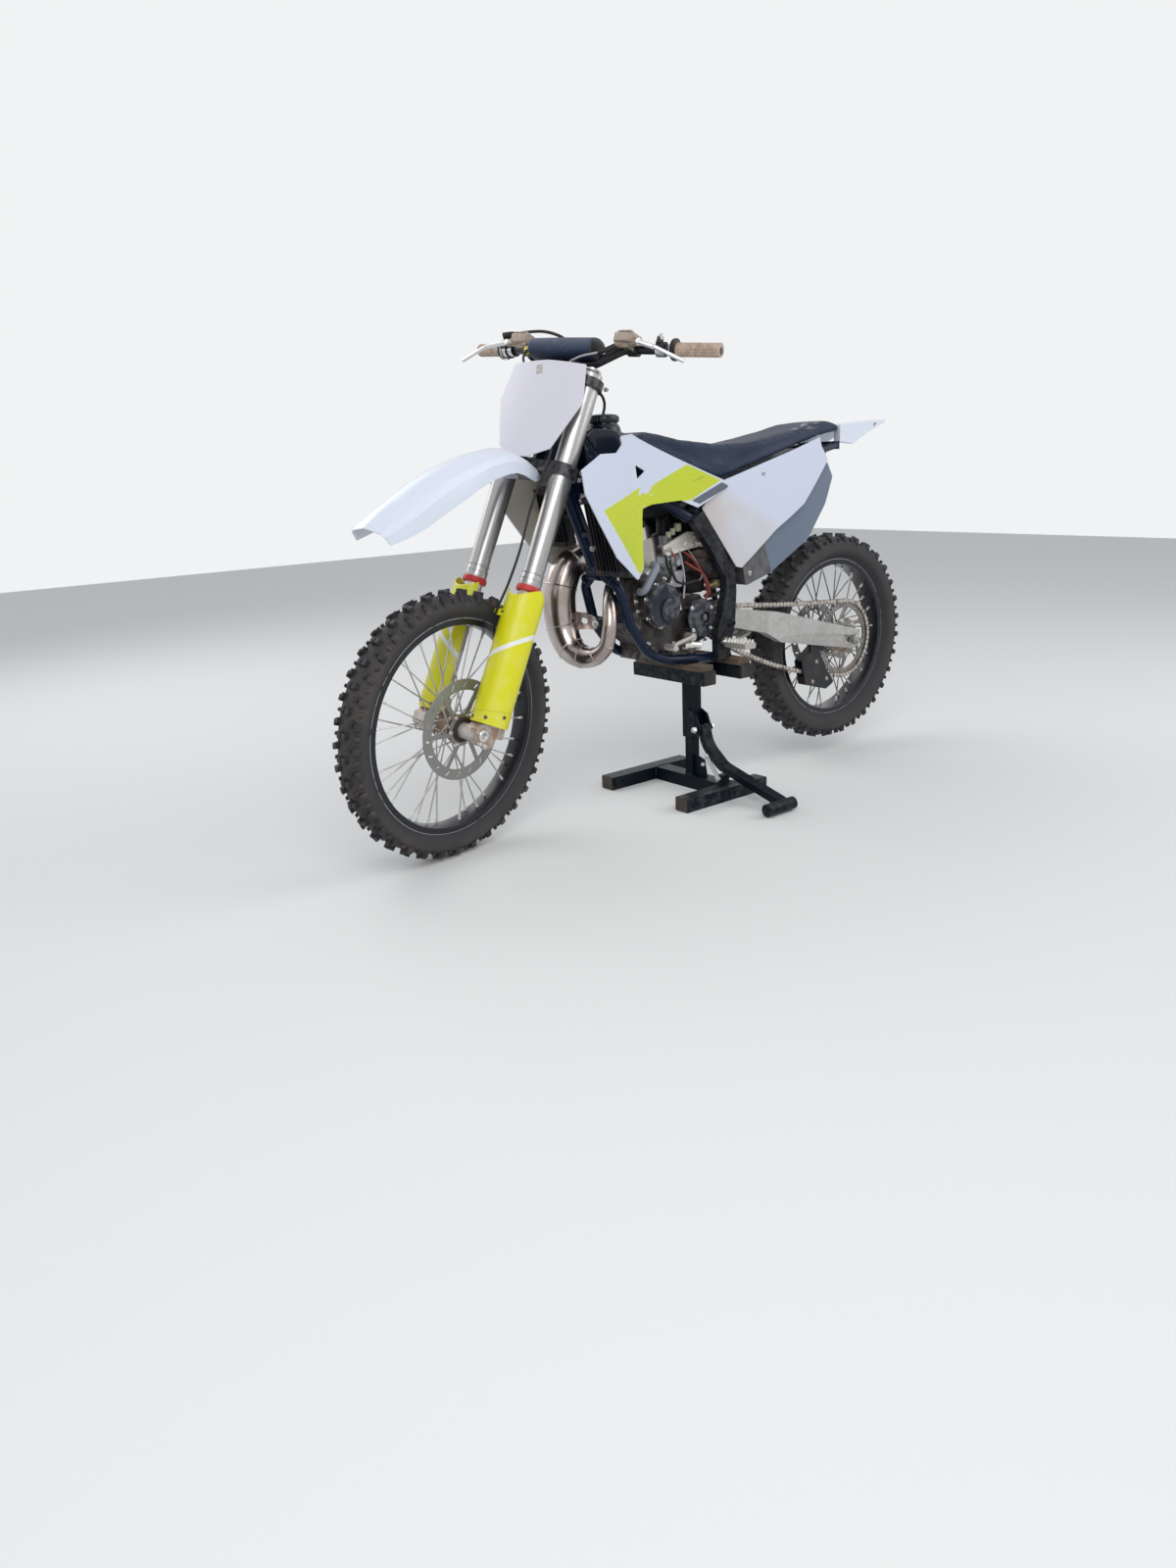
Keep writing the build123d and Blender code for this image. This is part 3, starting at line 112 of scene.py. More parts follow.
def node_out(kind, output=0, tree=None, **inputs):
    """A node of one kind with its sockets set or linked, and one of its outputs. It
    stands in the tree of its links, or in the one given."""
    made = (tree or tree_of(inputs.values())).nodes.new(kind)
    for name, value in inputs.items():
        key = int(name[1:]) if name[1:].isdigit() else name.replace("_", " ")
        plug(made.inputs[key], value)
    return made.outputs[output]


def sums(operation, *values):
    """A maths node on one to three numbers or links."""
    made = tree_of(values).nodes.new("ShaderNodeMath")
    made.operation = operation
    for socket, value in zip(made.inputs, values):
        plug(socket, value)
    return made.outputs["Value"]


def times(first, *others):
    """The product of numbers and links."""
    for other in others:
        first = sums("MULTIPLY", first, other)
    return first


def arrows(operation, *values):
    """A vector maths node; a dot product or a length gives a number."""
    made = tree_of(values).nodes.new("ShaderNodeVectorMath")
    made.operation = operation
    for socket, value in zip(made.inputs, values):
        plug(socket, value)
    return made.outputs["Value" if operation in ("DOT_PRODUCT", "LENGTH", "DISTANCE") else "Vector"]


world = bpy.data.worlds.new("studio")
bpy.context.scene.world = world
world.use_nodes = True
sky = world.node_tree
sky.nodes.clear()
rays = sky.nodes.new("ShaderNodeLightPath")
mirrored_or_through = sums("MAXIMUM", rays.outputs["Is Glossy Ray"], rays.outputs["Is Transmission Ray"])
backdrop_seen = sums("MAXIMUM", rays.outputs["Is Camera Ray"], mirrored_or_through)
fill = node_out("ShaderNodeBackground", tree=sky, Color=(0.92, 0.95, 1.0), Strength=0.60)
backdrop = node_out("ShaderNodeBackground", tree=sky, Color=(0.88, 0.89, 0.90), Strength=1.0)
sky.links.new(node_out("ShaderNodeMixShader", _0=backdrop_seen, _1=fill, _2=backdrop),
              sky.nodes.new("ShaderNodeOutputWorld").inputs["Surface"])


def surface(name, points, closed=(False, False)):
    """An object from grids of points, shaped pieces by rows by columns by three.

    Each four neighbours make a face; closed joins the last row or column to the
    first. Points that fall together are merged and the faces turned outwards."""
    points = np.asarray(points, float)
    points = points.reshape((-1,) + points.shape[-3:])
    count, rows, columns = points.shape[:3]
    index = np.arange(rows * columns).reshape(rows, columns)
    if closed[0]:
        index = np.vstack((index, index[:1]))
    if closed[1]:
        index = np.hstack((index, index[:, :1]))
    faces = np.stack((index[:-1, :-1], index[:-1, 1:], index[1:, 1:], index[1:, :-1]), axis=-1).reshape(-1, 4)
    faces = (faces[None] + rows * columns * np.arange(count)[:, None, None]).reshape(-1, 4)
    mesh = bpy.data.meshes.new(name)
    mesh.from_pydata(points.reshape(-1, 3).tolist(), [], faces.tolist())
    shape = bmesh.new()
    shape.from_mesh(mesh)
    bmesh.ops.remove_doubles(shape, verts=shape.verts, dist=2e-6)
    bmesh.ops.dissolve_degenerate(shape, edges=shape.edges, dist=1e-6)
    bmesh.ops.recalc_face_normals(shape, faces=shape.faces)
    shape.to_mesh(mesh)
    shape.free()
    thing = bpy.data.objects.new(name, mesh)
    bpy.context.collection.objects.link(thing)
    return thing


floor_side = np.array([-9.0, 9.0])
floor = surface("floor", np.stack((*np.meshgrid(floor_side, floor_side), np.zeros((2, 2))), axis=-1))
if floor.data.polygons[0].normal.z < 0:
    floor.data.flip_normals()
floor_paint = bpy.data.materials.new("floor_paint")
floor_paint.use_nodes = True
floor_shader = floor_paint.node_tree.nodes["Principled BSDF"]
floor_shader.inputs["Base Color"].default_value = (0.74, 0.74, 0.73, 1)
floor_shader.inputs["Roughness"].default_value = 0.9
floor.data.materials.append(floor_paint)


# Lift stand
#
# Welded square steel tube with a black powder coat and plugs in its open ends, brown
# earth on its flat tops, a lever on bright bolts and zinc links that lock it.

def fade(value, low, high):
    """0 at low to 1 at high, level outside."""
    return node_out("ShaderNodeMapRange", Value=value, From_Min=low, From_Max=high)


def blended(share, first, second):
    """One colour fading into another by share."""
    made = share.id_data.nodes.new("ShaderNodeMix")
    made.data_type = "RGBA"
    for socket, value in zip((made.inputs[0], made.inputs[6], made.inputs[7]), (share, first, second)):
        plug(socket, value)
    return made.outputs[2]


def noise(place, scale, detail=3.0, stretch=None):
    """Noise on a place vector, stretched per axis if asked for."""
    if stretch:
        place = node_out("ShaderNodeMapping", Vector=place, Scale=stretch)
    return node_out("ShaderNodeTexNoise", Vector=place, Scale=scale, Detail=detail)


def group_of(name, inputs, outputs):
    """An empty node group with named sockets, and its input and output sockets."""
    group = bpy.data.node_groups.new(name, "ShaderNodeTree")
    for label, kind, value in inputs:
        group.interface.new_socket(label, in_out="INPUT",
                                   socket_type="NodeSocket" + kind).default_value = value
    for label, kind in outputs:
        group.interface.new_socket(label, in_out="OUTPUT", socket_type="NodeSocket" + kind)
    return group, group.nodes.new("NodeGroupInput").outputs, group.nodes.new("NodeGroupOutput").inputs


# Grime lies thickest low down, in patches and on faces that look up, and dulls what
# it covers. Wear bares a brighter colour along the edges.
grime, given, result = group_of(
    "grime",
    [("Colour", "Color", (0.5, 0.5, 0.5, 1)), ("Dust", "Color", (0.30, 0.24, 0.17, 1)),
     ("Amount", "Float", 0.3), ("Low", "Float", 0.3), ("High", "Float", 1.0), ("Roughness", "Float", 0.4),
     ("Metallic", "Float", 0.0), ("Bare", "Color", (0.5, 0.5, 0.5, 1)), ("Wear", "Float", 0.0)],
    [("Colour", "Color"), ("Roughness", "Float"), ("Metallic", "Float"), ("Height", "Float")])
place = grime.nodes.new("ShaderNodeTexCoord").outputs["Object"]
facing = grime.nodes.new("ShaderNodeNewGeometry").outputs
patches, specks = noise(place, 9.0, 5.0), noise(place, 170.0, 3.0)
upward = fade(node_out("ShaderNodeSeparateXYZ", 2, Vector=facing["Normal"]), 0.55, 0.95)
lowness = fade(node_out("ShaderNodeSeparateXYZ", 2, Vector=place), given["High"], given["Low"])
cover = sums("ADD", times(lowness, 0.55), fade(patches, 0.40, 0.74))
cover = times(sums("ADD", cover, times(upward, 0.45)), given["Amount"])
cover = fade(times(cover, sums("ADD", specks, 0.45)), 0.05, 1.0)
edges = times(fade(facing["Pointiness"], 0.52, 0.58), given["Wear"])
edges = times(edges, fade(noise(place, 60.0), 0.42, 0.62))
grime.links.new(blended(cover, blended(edges, given["Colour"], given["Bare"]), given["Dust"]),
                result["Colour"])
dulled = sums("MULTIPLY_ADD", cover, 0.35, given["Roughness"])
grime.links.new(sums("MULTIPLY_ADD", sums("SUBTRACT", specks, 0.5), 0.06, dulled), result["Roughness"])
grime.links.new(times(given["Metallic"], sums("SUBTRACT", 1.0, cover)), result["Metallic"])
grime.links.new(sums("MULTIPLY_ADD", cover, 2.0, specks), result["Height"])

dry_earth = (0.30, 0.24, 0.17)


def finish(name, colour, roughness, metallic=0.0, dust=dry_earth, amount=0.3, low=0.1, high=1.1, bare=None,
           wear=0.0, bump=0.0002, shine=0.5, paint=None, relief=None):
    """A material whose colour passes through the grime, with shine as its specular
    level. paint(place, colour) gives a pattern, and relief(place) a height in metres."""
    made = bpy.data.materials.new(name)
    made.use_nodes = True
    tree = made.node_tree
    shader = tree.nodes["Principled BSDF"]
    shader.inputs["Specular IOR Level"].default_value = shine
    place = tree.nodes.new("ShaderNodeTexCoord").outputs["Object"]
    dirt = tree.nodes.new("ShaderNodeGroup")
    dirt.node_tree = grime
    for label, value in (("Colour", paint(place, colour) if paint else colour), ("Dust", dust),
                         ("Amount", amount), ("Low", low), ("High", high), ("Roughness", roughness),
                         ("Metallic", metallic), ("Bare", bare or colour), ("Wear", wear)):
        plug(dirt.inputs[label], value)
    tree.links.new(dirt.outputs["Colour"], shader.inputs["Base Color"])
    tree.links.new(dirt.outputs["Roughness"], shader.inputs["Roughness"])
    if metallic:
        tree.links.new(dirt.outputs["Metallic"], shader.inputs["Metallic"])
    normal = node_out("ShaderNodeBump", Height=dirt.outputs["Height"], Distance=bump, Strength=0.6)
    if relief:
        normal = node_out("ShaderNodeBump", Height=relief(place), Distance=1.0, Normal=normal)
    tree.links.new(normal, shader.inputs["Normal"])
    return made


def rounded(piece, bevel=0.0, sharp=32.0):
    """Smooth faces up to the sharp angle, and a small round on the edges past it."""
    piece.data.polygons.foreach_set("use_smooth", np.ones(len(piece.data.polygons), bool))
    piece.data.set_sharp_from_angle(angle=radians(sharp))
    if bevel:
        edge = piece.modifiers.new("rounded_edges", "BEVEL")
        edge.width, edge.segments = bevel, 2
        edge.limit_method, edge.angle_limit = "ANGLE", radians(sharp)
        edge.harden_normals = True


def of_faces(mesh, what):
    """The center or the normal of each face, as an array."""
    values = np.empty(len(mesh.polygons) * 3)
    mesh.polygons.foreach_get(what, values)
    return values.reshape(-1, 3)


def dressed(node, material, bevel=0.0008, sharp=32.0, more=(), choose=None, keep=None):
    """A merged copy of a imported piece: flat faces joined, curved ones smooth and its
    edges rounded by bevel. choose(mesh) picks a material for each face, with those of
    more after the first, and keep(corners) says which corners stay."""
    mesh = frame["nodes"][node].data.copy()
    mesh.name = node + "_finished"
    shape = bmesh.new()
    shape.from_mesh(mesh)
    bmesh.ops.remove_doubles(shape, verts=shape.verts, dist=3e-6)
    if keep:
        stays = keep(np.array([corner.co[:] for corner in shape.verts]))
        dropped = [corner for corner, stay in zip(shape.verts, stays) if not stay]
        bmesh.ops.delete(shape, geom=dropped, context="VERTS")
    bmesh.ops.dissolve_limit(shape, angle_limit=radians(0.4), verts=shape.verts, edges=shape.edges)
    shape.to_mesh(mesh)
    shape.free()
    mesh.materials.clear()
    for made in (material, *more):
        mesh.materials.append(made)
    if choose:
        mesh.polygons.foreach_set("material_index", choose(mesh) * 1)
    piece = bpy.data.objects.new(node + "_finished", mesh)
    bpy.context.collection.objects.link(piece)
    rounded(piece, bevel, sharp)
    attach(piece, body_of[node])
    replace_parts(piece, node)
    return piece


def shown(piece, material, body, bevel=0.0, sharp=32.0):
    """Gives a new piece its material, its smoothing and its slot, and rides it on its
    body unless that is None."""
    piece.data.materials.append(material)
    rounded(piece, bevel, sharp)
    if body:
        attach(piece, body)
    return piece


def across(direction):
    """Two unit vectors square to each of an array of directions."""
    direction = direction / np.linalg.norm(direction, axis=-1, keepdims=True)
    helper = np.where(np.abs(direction[..., 2:3]) > 0.8, [1.0, 0.0, 0.0], [0.0, 0.0, 1.0])
    one = np.cross(direction, helper)
    one /= np.linalg.norm(one, axis=-1, keepdims=True)
    return one, np.cross(direction, one)


def circles(one, other, sides):
    """A circle of points for each pair of vectors: one x cosine + other x sine."""
    angle = np.arange(sides) * 2 * pi / sides
    return one[..., None, :] * np.cos(angle)[:, None] + other[..., None, :] * np.sin(angle)[:, None]


def turned(name, starts, ends, profile, material, body, sides=12, sizes=1.0, bevel=0.0, sharp=32.0):
    """Turned pieces, one from each start to its end: the profile's pairs are a share of
    the run and a radius, and each point is start + share x run + radius x the circle."""
    starts, ends = np.atleast_2d(starts).astype(float), np.atleast_2d(ends).astype(float)
    run = ends - starts
    share, radius = np.array([(profile[0][0], 0.0), *profile, (profile[-1][0], 0.0)]).T
    radius = radius[None, :, None, None] * np.reshape(np.broadcast_to(sizes, len(run)), (-1, 1, 1, 1))
    points = (starts[:, None, None] + run[:, None, None] * share[None, :, None, None]
              + circles(*across(run), sides)[:, None] * radius)
    return shown(surface(name, points, closed=(False, True)), material, body, bevel, sharp)


def bolts(name, places, axes, radius, tall, material, body, sides=14):
    """Bolt heads with a flange and a socket, standing on places along their axes."""
    places = np.atleast_2d(places).astype(float)
    axes = np.broadcast_to(np.asarray(axes, float), places.shape)
    axes = axes / np.linalg.norm(axes, axis=1, keepdims=True)
    profile = [(0.0, 1.0), (0.25, 1.0), (0.35, 0.78), (0.92, 0.76), (1.0, 0.66), (1.0, 0.42), (0.55, 0.38)]
    return turned(name, places - axes * 0.0008, places + axes * tall, [(s, r * radius) for s, r in profile],
                  material, body, sides)


def pair(x, y, z):
    """A place or direction on the left and its mirror image on the right."""
    return [(x, y, z), (x, -y, z)]


stand_earth = (0.21, 0.155, 0.105)
stand_paint = finish("stand_paint", (0.002, 0.006, 0.011), 0.36, dust=stand_earth, amount=0.045, low=0.0,
                     high=0.3, shine=0.12, bare=(0.08, 0.08, 0.08), wear=0.5)


def trodden_earth(place, colour):
    """Brown earth caked on the flat top, thin at its edges."""
    top = fade(node_out("ShaderNodeSeparateXYZ", 2, Vector=place), 0.3840, 0.3849)
    cake = fade(noise(place, 22.0, 5.0), 0.38, 0.60)
    return blended(times(top, cake, 0.9), colour, (0.16, 0.105, 0.075))


platform_paint = finish("platform_paint", (0.002, 0.006, 0.011), 0.38, dust=stand_earth, amount=0.05,
                        shine=0.12, low=0.2, high=0.6, bare=(0.08, 0.08, 0.08), wear=0.4, paint=trodden_earth)
dressed("stand_base", stand_paint, 0.0015)
dressed("stand_lever", stand_paint, 0.0015)
dressed("stand_platform", platform_paint, 0.0015)
pad_rubber = finish("pad_rubber", (0.025, 0.025, 0.027), 0.75, dust=(0.17, 0.12, 0.085), amount=0.9, low=0.0,
                    high=0.6)
dressed("stand_pads", pad_rubber, 0.002)
zinc = finish("zinc", (0.66, 0.67, 0.68), 0.30, metallic=1.0, amount=0.2)
dressed("stand_links", zinc, 0.0005)

both_ways = [(1, 0, 0), (-1, 0, 0)]
pivot_bolts = [(side * 0.0343, 0.046, 0.190) for side in (1, -1)]
bolts("stand_pivot_bolts", pivot_bolts, both_ways, 0.0105, 0.008, zinc, "chassis", 6)
link_bolts = [(side * 0.023, *pin) for pin in ((0.131, 0.052), (0.084, 0.113)) for side in (1, -1)]
bolts("stand_link_bolts", link_bolts, both_ways * 2, 0.0075, 0.005, zinc, "chassis", 6)
bolts("stand_gusset_bolt", [(0.0045, 0.050, 0.078)], [(1, 0, 0)], 0.007, 0.005, zinc, "chassis", 6)


def cushion_box(name, places, sizes, material, body, corner=0.25):
    """Small rounded blocks: a unit block of ten rings of a rounded square, from pole to
    pole, each scaled to its size and set on its place. Sizes are half sizes, and a
    lower corner is a sharper one: it is the power of each sine and cosine."""
    angle = np.arange(16) * pi / 8 + pi / 16
    x, y = (np.sign(wave) * np.abs(wave) ** corner for wave in (np.cos(angle), np.sin(angle)))
    tilt = np.linspace(-pi / 2, pi / 2, 10)
    out = np.abs(np.cos(tilt)) ** corner * (np.abs(np.sin(tilt)) < 0.9999)
    rise = np.sign(np.sin(tilt)) * np.abs(np.sin(tilt)) ** corner
    ball = np.stack((out[:, None] * x, out[:, None] * y, np.broadcast_to(rise[:, None], (10, 16))), axis=-1)
    places, sizes = np.atleast_2d(places).astype(float), np.atleast_2d(sizes).astype(float)
    blocks = surface(name, places[:, None, None] + ball * sizes[:, None, None], closed=(False, True))
    return shown(blocks, material, body, 0.0, 50.0)


end_plug = finish("end_plug", (0.010, 0.012, 0.016), 0.5, shine=0.25, dust=stand_earth, amount=0.3, low=0.0,
                  high=0.5)
plug_places = [(x, side * 0.150, 0.365) for x in (0.0725, -0.080) for side in (1, -1)]
plug_sizes = [(0.0235, 0.003, 0.0185)] * 4
plug_places += [(x, side * 0.165, 0.020) for x in (0.205, -0.125) for side in (1, -1)]
plug_sizes += [(0.003, 0.0235, 0.0185)] * 4
cushion_box("stand_plugs", plug_places, plug_sizes, end_plug, "chassis", 0.12)


def weld(name, corners, radius, material, body):
    """A weld bead along straight runs between corners, its radius waving along it."""
    corners = np.asarray(corners, float)
    starts, ends = corners[:-1], corners[1:]
    share = np.linspace(0, 1, 25)
    profile = [(s, radius * (0.85 + 0.15 * cos(i * 2.6))) for i, s in enumerate(share)]
    return turned(name, starts, ends, profile, material, body, 8)


square = np.array([(1, 1, 0), (1, -1, 0), (-1, -1, 0), (-1, 1, 0), (1, 1, 0)])
for name, half, height, paint in (("column_weld", 0.0152, 0.041, stand_paint),
                                  ("sleeve_weld", 0.0205, 0.3445, platform_paint)):
    weld(name, square * half + [0, 0, height], 0.0028, paint, "chassis")
for side in (1, -1):
    foot_seam = [(x, side * 0.1398, z) for x, z in ((0.0252, 0.0), (0.0252, 0.0395), (-0.0252, 0.0395),
                                                    (-0.0252, 0.0))]
    weld("foot_weld_%d" % (side + 1), foot_seam, 0.0026, stand_paint, "chassis")


# Frame
#
# Round steel tube and forged plates, painted a navy blue that is nearly black and
# rubbed by boots, with weld beads where the tubes meet.

def patchy(scale, detail, low, high, share, other, stretch=None):
    """A pattern for paint: the colour fades by share into another where a noise rises
    from low to high."""
    def paint(place, colour):
        """The pattern on one material."""
        patch = fade(noise(place, scale, detail, stretch), low, high)
        return blended(times(patch, share), colour, other)
    return paint


# Paint with paler rubbed streaks along the tubes.
rubbed_blue = patchy(14.0, 4.0, 0.52, 0.75, 0.5, (0.013, 0.034, 0.085), (1.0, 1.0, 0.35))
frame_paint = finish("frame_paint", (0.003, 0.010, 0.029), 0.24, amount=0.02, low=0.4, high=1.0,
                     bare=(0.06, 0.07, 0.09), wear=0.4, shine=0.22, paint=rubbed_blue)
for node in ("frame_spine", "frame_cradle", "frame_spars", "subframe"):
    dressed(node, frame_paint, 0.0012)

# Dark paint rubbed grey in vertical scuffs by boots.
scuffed_grey = patchy(30.0, 5.0, 0.48, 0.72, 1.0, (0.026, 0.029, 0.036), (1.0, 1.0, 0.3))
plate_paint = finish("plate_paint", (0.006, 0.007, 0.010), 0.42, amount=0.04, low=0.5, high=1.0,
                     bare=(0.09, 0.09, 0.09), wear=0.5, shine=0.15, paint=scuffed_grey)
dressed("frame_uprights", plate_paint, 0.005)


def collars(name, middles, directions, radii, thick, proud, material, body, sides=28):
    """Weld beads and clamps round tubes: each is a ring proud of its radius."""
    middles, directions = np.atleast_2d(middles).astype(float), np.atleast_2d(directions).astype(float)
    directions = directions / np.linalg.norm(directions, axis=1, keepdims=True)
    shoulder = 1.0 + proud * 0.7
    profile = [(0.0, 1.0), (0.15, shoulder), (0.5, 1.0 + proud), (0.85, shoulder), (1.0, 1.0)]
    return turned(name, middles - directions * thick / 2, middles + directions * thick / 2, profile, material,
                  body, sides, sizes=radii)


tube_welds = pair(0.3445, 0.055, 0.662) + pair(-0.006, 0.075, 0.409) + pair(0.130, 0.0828, 0.8350)
weld_runs = pair(-0.25, 1.0, -0.66) + pair(1, 0, 0) + pair(0.86, -0.10, 0.50)
collars("frame_welds", tube_welds, weld_runs, [0.0141, 0.0141, 0.0141, 0.0141, 0.0151, 0.0151], 0.005, 0.12,
        frame_paint, "chassis")
bolts("frame_pivot_bolts", pair(-0.052, 0.119, 0.507), pair(0, 1, 0), 0.0135, 0.007, plate_paint,
      "chassis", 6)


# Swingarm and rear axle
#
# A cast and welded aluminium arm, pale and warm grey with road dirt in its fine
# grain, with adjuster blocks in its end slots and a steel axle through them.

def cast_grain(place, colour):
    """Wide grey patches with a fine grain and a few long scratches."""
    patches = noise(place, 12.0, 4.0)
    scratches = noise(place, 220.0, 2.0, (0.5, 1.0, 1.2))
    tone = sums("MULTIPLY_ADD", scratches, 0.3, times(patches, 0.7))
    return blended(fade(tone, 0.40, 0.66), colour, (0.37, 0.355, 0.33))


arm_alloy = finish("arm_alloy", (0.46, 0.455, 0.445), 0.42, metallic=0.6, amount=0.12, bump=0.0001, low=0.3,
                   high=0.75, dust=(0.33, 0.27, 0.20), bare=(0.75, 0.74, 0.72), wear=0.7, paint=cast_grain)
dressed("swingarm", arm_alloy, 0.004)
axle_steel = finish("axle_steel", (0.46, 0.46, 0.46), 0.33, metallic=1.0, amount=0.3)
dressed("rear_axle", axle_steel, 0.0008)
rear_x, rear_z = -0.620, 0.385  # the rear axle
bolts("rear_axle_nut", [(rear_x, 0.130, rear_z)], [(0, 1, 0)], 0.0165, 0.011, axle_steel, "chassis", 6)
arm_back = Vector((-0.9781, 0.0, -0.2079))
for side in (1, -1):
    middle = Vector((-0.6572, side * 0.106, 0.3770))
    turned("adjuster_bolt_%d" % (side + 1), [middle], [middle + arm_back * 0.011],
           [(0, 0.004), (0.4, 0.004), (0.4, 0.0075), (1, 0.0075)], axle_steel, "chassis", 6)


# Chain and sprockets
#
# A roller chain of pressed plates on pins, bright where it rubs and brown with oil between,
# its recessed inner plates painted dark as shade, over a small front sprocket and a large
# steel rear one, in a scuffed black guide.

pitch, chain_y = 0.015875, 0.072
rear_centre, front_centre = np.array([rear_x, rear_z]), np.array([0.025, 0.530])
rear_teeth, front_teeth = 48, 13
rear_pitch, front_pitch = (pitch / (2 * sin(pi / teeth)) for teeth in (rear_teeth, front_teeth))
span = front_centre - rear_centre
slope = np.arctan2(span[1], span[0])
closing = (rear_pitch - front_pitch) / np.hypot(*span)
top_angle, low_angle = slope + pi / 2 - closing, slope - pi / 2 + closing - 0.09


def heading(angle):
    """The unit vector at an angle in the X and Z plane."""
    return np.array([np.cos(angle), np.sin(angle)])


def arc_through(a, b, c, count):
    """Points on the circle through a, b and c: its centre is where the bisectors meet,
    and the angle runs evenly from a to c on b's side."""
    ab, ac = b - a, c - a
    area = 2 * (ab[0] * ac[1] - ab[1] * ac[0])
    centre = a + np.array([ac[1] * ab @ ab - ab[1] * ac @ ac, ab[0] * ac @ ac - ac[0] * ab @ ab]) / area
    first, middle, last = (np.arctan2(*(p - centre)[::-1]) for p in (a, b, c))
    turn = (last - first) % (2 * pi)
    if (middle - first) % (2 * pi) > turn:
        turn -= 2 * pi
    angle = first + turn * np.linspace(0, 1, count)
    return centre + np.linalg.norm(a - centre) * np.stack((np.cos(angle), np.sin(angle)), axis=-1)


rear_top, rear_low = (rear_centre + heading(a) * rear_pitch for a in (top_angle, low_angle))
front_top, front_low = (front_centre + heading(a) * front_pitch for a in (top_angle, low_angle + 0.18))
low_middle = (rear_low + front_low) / 2 + np.array([np.sin(slope), -np.cos(slope)]) * 0.034
top_share = np.linspace(0, 1, 160)[:, None]
top_run = front_top + (rear_top - front_top) * top_share - np.array([0, 0.022]) * top_share * (1 - top_share)
loop = np.vstack((arc_through(rear_top, rear_centre - [rear_pitch, 0], rear_low, 160)[:-1],
                  arc_through(rear_low, low_middle, front_low, 160)[:-1],
                  arc_through(front_low, front_centre + [front_pitch, 0], front_top, 60)[:-1], top_run))
gone = np.concatenate(([0], np.cumsum(np.hypot(*np.diff(loop, axis=0).T))))
link_count = 2 * round(gone[-1] / pitch / 2)
pins = np.stack([np.interp(np.arange(link_count + 1) * gone[-1] / link_count, gone, part) for part in loop.T],
                axis=-1)


def link_plates(name, first, outward, thick, tall, material):
    """Every second link's plates: each is an outline with a waist, tall at its pins,
    carried across its thickness and closed at both faces. first picks the links."""
    start, end = pins[:-1][first::2], pins[1:][first::2]
    run, middle = end - start, (start + end) / 2
    side = np.stack((-run[:, 1], run[:, 0]), axis=-1) / np.linalg.norm(run, axis=1, keepdims=True)
    angle = np.arange(16) * pi / 8
    lengthwise = np.where(np.abs(np.cos(angle)) > 0.3, np.sign(np.cos(angle)) * 0.5, 0) * pitch
    lengthwise = lengthwise + np.cos(angle) * tall / 2
    height = np.sin(angle) * tall / 2 * np.where(np.abs(np.cos(angle)) < 0.2, 0.66, 1.0)
    flat = middle[:, None] + run[:, None] / pitch * lengthwise[:, None] + side[:, None] * height[:, None]
    levels = np.array([(0.0, 0.0), (0.9, 0.0), (1.0, 0.15), (1.0, 0.85), (0.9, 1.0), (0.0, 1.0)])
    plates = []
    for mirrored in (1, -1):
        ring = middle[:, None, None] + (flat - middle[:, None])[:, None] * levels[:, 0][None, :, None, None]
        depth = np.broadcast_to((chain_y + mirrored * (outward + levels[:, 1] * thick))[None, :, None],
                                ring.shape[:3])
        plates.append(np.stack((ring[..., 0], depth, ring[..., 1]), axis=-1))
    piece = surface(name, np.concatenate(plates), closed=(False, True))
    return shown(piece, material, "chassis", 0.0, 40.0)


# Rubbed bright steel with brown oil in patches along the chain.
oily_steel = patchy(55.0, 4.0, 0.48, 0.66, 1.0, (0.13, 0.10, 0.08))
link_steel = finish("link_steel", (0.42, 0.385, 0.35), 0.40, metallic=0.8, amount=0.10,
                    dust=(0.16, 0.13, 0.10), paint=oily_steel)
roller_steel = finish("roller_steel", (0.68, 0.65, 0.60), 0.28, metallic=1.0, amount=0.15)
# The inner plates are the same steel painted dark brown: painted shade in their recess between the outer
# plates.
inner_link_painted_shade = finish("inner_link_painted_shade", (0.08, 0.065, 0.055), 0.45, metallic=0.6, amount=0.15)
inner_plates = link_plates("chain_inner_plates", 0, 0.0036, 0.0018, 0.0158, inner_link_painted_shade)
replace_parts(inner_plates, "chain")
link_plates("chain_outer_plates", 1, 0.0058, 0.0022, 0.0156, link_steel)
at_pins = np.stack((pins[:-1, 0], np.full(link_count, chain_y), pins[:-1, 1]), axis=-1)
sideways = np.array([0.0, 1.0, 0.0])
turned("chain_rollers", at_pins - sideways * 0.0035, at_pins + sideways * 0.0035, [(0, 0.0049), (1, 0.0049)],
       roller_steel, "chassis", 10)
turned("chain_pins", at_pins - sideways * 0.0088, at_pins + sideways * 0.0088,
       [(0, 0.0018), (0.03, 0.0025), (0.97, 0.0025), (1, 0.0018)], roller_steel, "chassis", 8)

sprocket_steel = finish("sprocket_steel", (0.17, 0.165, 0.16), 0.4, metallic=0.9, amount=0.3,
                        bare=(0.6, 0.6, 0.6), wear=0.8)
dressed("front_sprocket", sprocket_steel, 0.0004)
steps = rear_teeth * 12
tooth_turn = (np.arange(steps) * 2 * pi / steps)[:, None]
tooth_out = rear_pitch - 0.0018 + 0.0038 * np.clip(1.6 * np.cos(rear_teeth * tooth_turn), -1, 1)
toothed = np.hstack((tooth_out, tooth_out, np.full((steps, 2), 0.1010)))
hub_ring = np.broadcast_to([0.066, 0.066, 0.042, 0.042], (steps, 4))
ring_y = np.broadcast_to([0.0691, 0.0749, 0.0749, 0.0691], (steps, 4))
sprocket_rings = np.stack([
    np.stack((rear_x + reach * np.cos(tooth_turn), ring_y, rear_z + reach * np.sin(tooth_turn)), axis=-1)
    for reach in (toothed, hub_ring)])
rear_sprocket = shown(surface("open_sprocket", sprocket_rings, closed=(True, True)), sprocket_steel,
                      "rear_wheel", bevel=0.0005)
